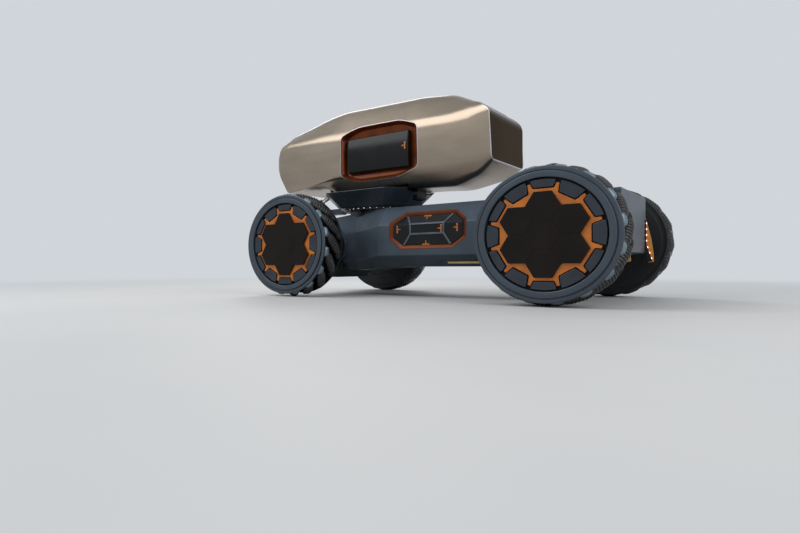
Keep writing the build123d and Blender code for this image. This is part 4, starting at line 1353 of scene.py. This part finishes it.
def build_floor():
    """A pale floor that keeps the object's shadow and fades into the backdrop."""
    half = FLOOR_HALF
    mesh = bpy.data.meshes.new("floor")
    corners = [(-half, -half, 0), (half, -half, 0), (half, half, 0), (-half, half, 0)]
    mesh.from_pydata(corners, [], [(0, 1, 2, 3)])
    floor = link("floor", mesh)
    material, tree = new_material("pale_studio_floor")
    colour, factor, vector = varied(tree, *FLOOR_TONES, 0.8)
    seen = seen_ray(tree)
    toned = add_node(tree, "ShaderNodeMix", {"Factor": seen}, data_type="RGBA")
    toned.inputs[6].default_value = linear(FLOOR_BOUNCE)
    tree.links.new(colour, toned.inputs[7])
    matt = add_node(tree, "ShaderNodeBsdfPrincipled", {
        "Base Color": toned.outputs[2], "Roughness": spread(tree, factor, 0.55, 0.65)})
    glow = add_node(tree, "ShaderNodeEmission", {
        "Color": linear(BACKDROP), "Strength": BACKDROP_STRENGTH})
    distance = add_node(tree, "ShaderNodeVectorMath", {0: vector}, operation="LENGTH")
    fade = add_node(tree, "ShaderNodeMapRange", {
        "Value": distance.outputs["Value"], "From Min": FLOOR_FADE[0], "From Max": FLOOR_FADE[1]},
        interpolation_type="SMOOTHSTEP")
    share = add_node(tree, "ShaderNodeMath", {
        0: fade.outputs["Result"], 1: seen}, operation="MULTIPLY")
    blend = add_node(tree, "ShaderNodeMixShader", {
        0: share.outputs[0], 1: matt.outputs["BSDF"], 2: glow.outputs["Emission"]})
    add_node(tree, "ShaderNodeOutputMaterial", {"Surface": blend.outputs["Shader"]})
    mesh.materials.append(material)


def build_light():
    """A pale world and soft studio lamps."""
    world = bpy.data.worlds.new("pale_studio")
    world.use_nodes = True
    tree = world.node_tree
    tree.nodes.clear()
    strength = add_node(tree, "ShaderNodeMapRange", {
        "Value": seen_ray(tree), "To Min": WORLD_STRENGTH, "To Max": BACKDROP_STRENGTH})
    light = add_node(tree, "ShaderNodeBackground", {
        "Color": linear(BACKDROP), "Strength": strength.outputs["Result"]})
    add_node(tree, "ShaderNodeOutputWorld", {"Surface": light.outputs[0]})
    bpy.context.scene.world = world

    for name, at, target, width, watts in LAMPS:
        lamp = bpy.data.lights.new(name, "AREA")
        lamp.size = width
        lamp.energy = watts
        thing = link(name, lamp)
        thing.location = at
        aim = Vector(target) - Vector(at)
        thing.rotation_euler = aim.to_track_quat("-Z", "Y").to_euler()


def build_camera():
    """The photograph's viewpoint, level and near the floor."""
    lens = bpy.data.cameras.new("camera")
    lens.lens = CAMERA_LENS
    lens.sensor_width = CAMERA_SENSOR
    lens.shift_x = CAMERA_SHIFT
    lens.clip_end = CAMERA_REACH
    camera = link("camera", lens)
    camera.location = CAMERA_AT
    camera.rotation_euler = (math.radians(90), CAMERA_ROLL, CAMERA_HEADING)
    bpy.context.scene.camera = camera
    bpy.context.scene.view_settings.view_transform = "Standard"


paint_kept_nodes()
build_camera()
build_floor()
build_light()
build_wheels()
build_hull()
build_recess_liners()
build_hub_carriers()
build_lamps()
build_fins()
build_slewing_ring()
build_pedestal()
build_cylinder()
build_pod_shell()
build_pod_recess()
build_pod_front()
for kept_node, edge_width in KEPT_SHAPES:
    softened(kept_node, edge_width)
build_marks()
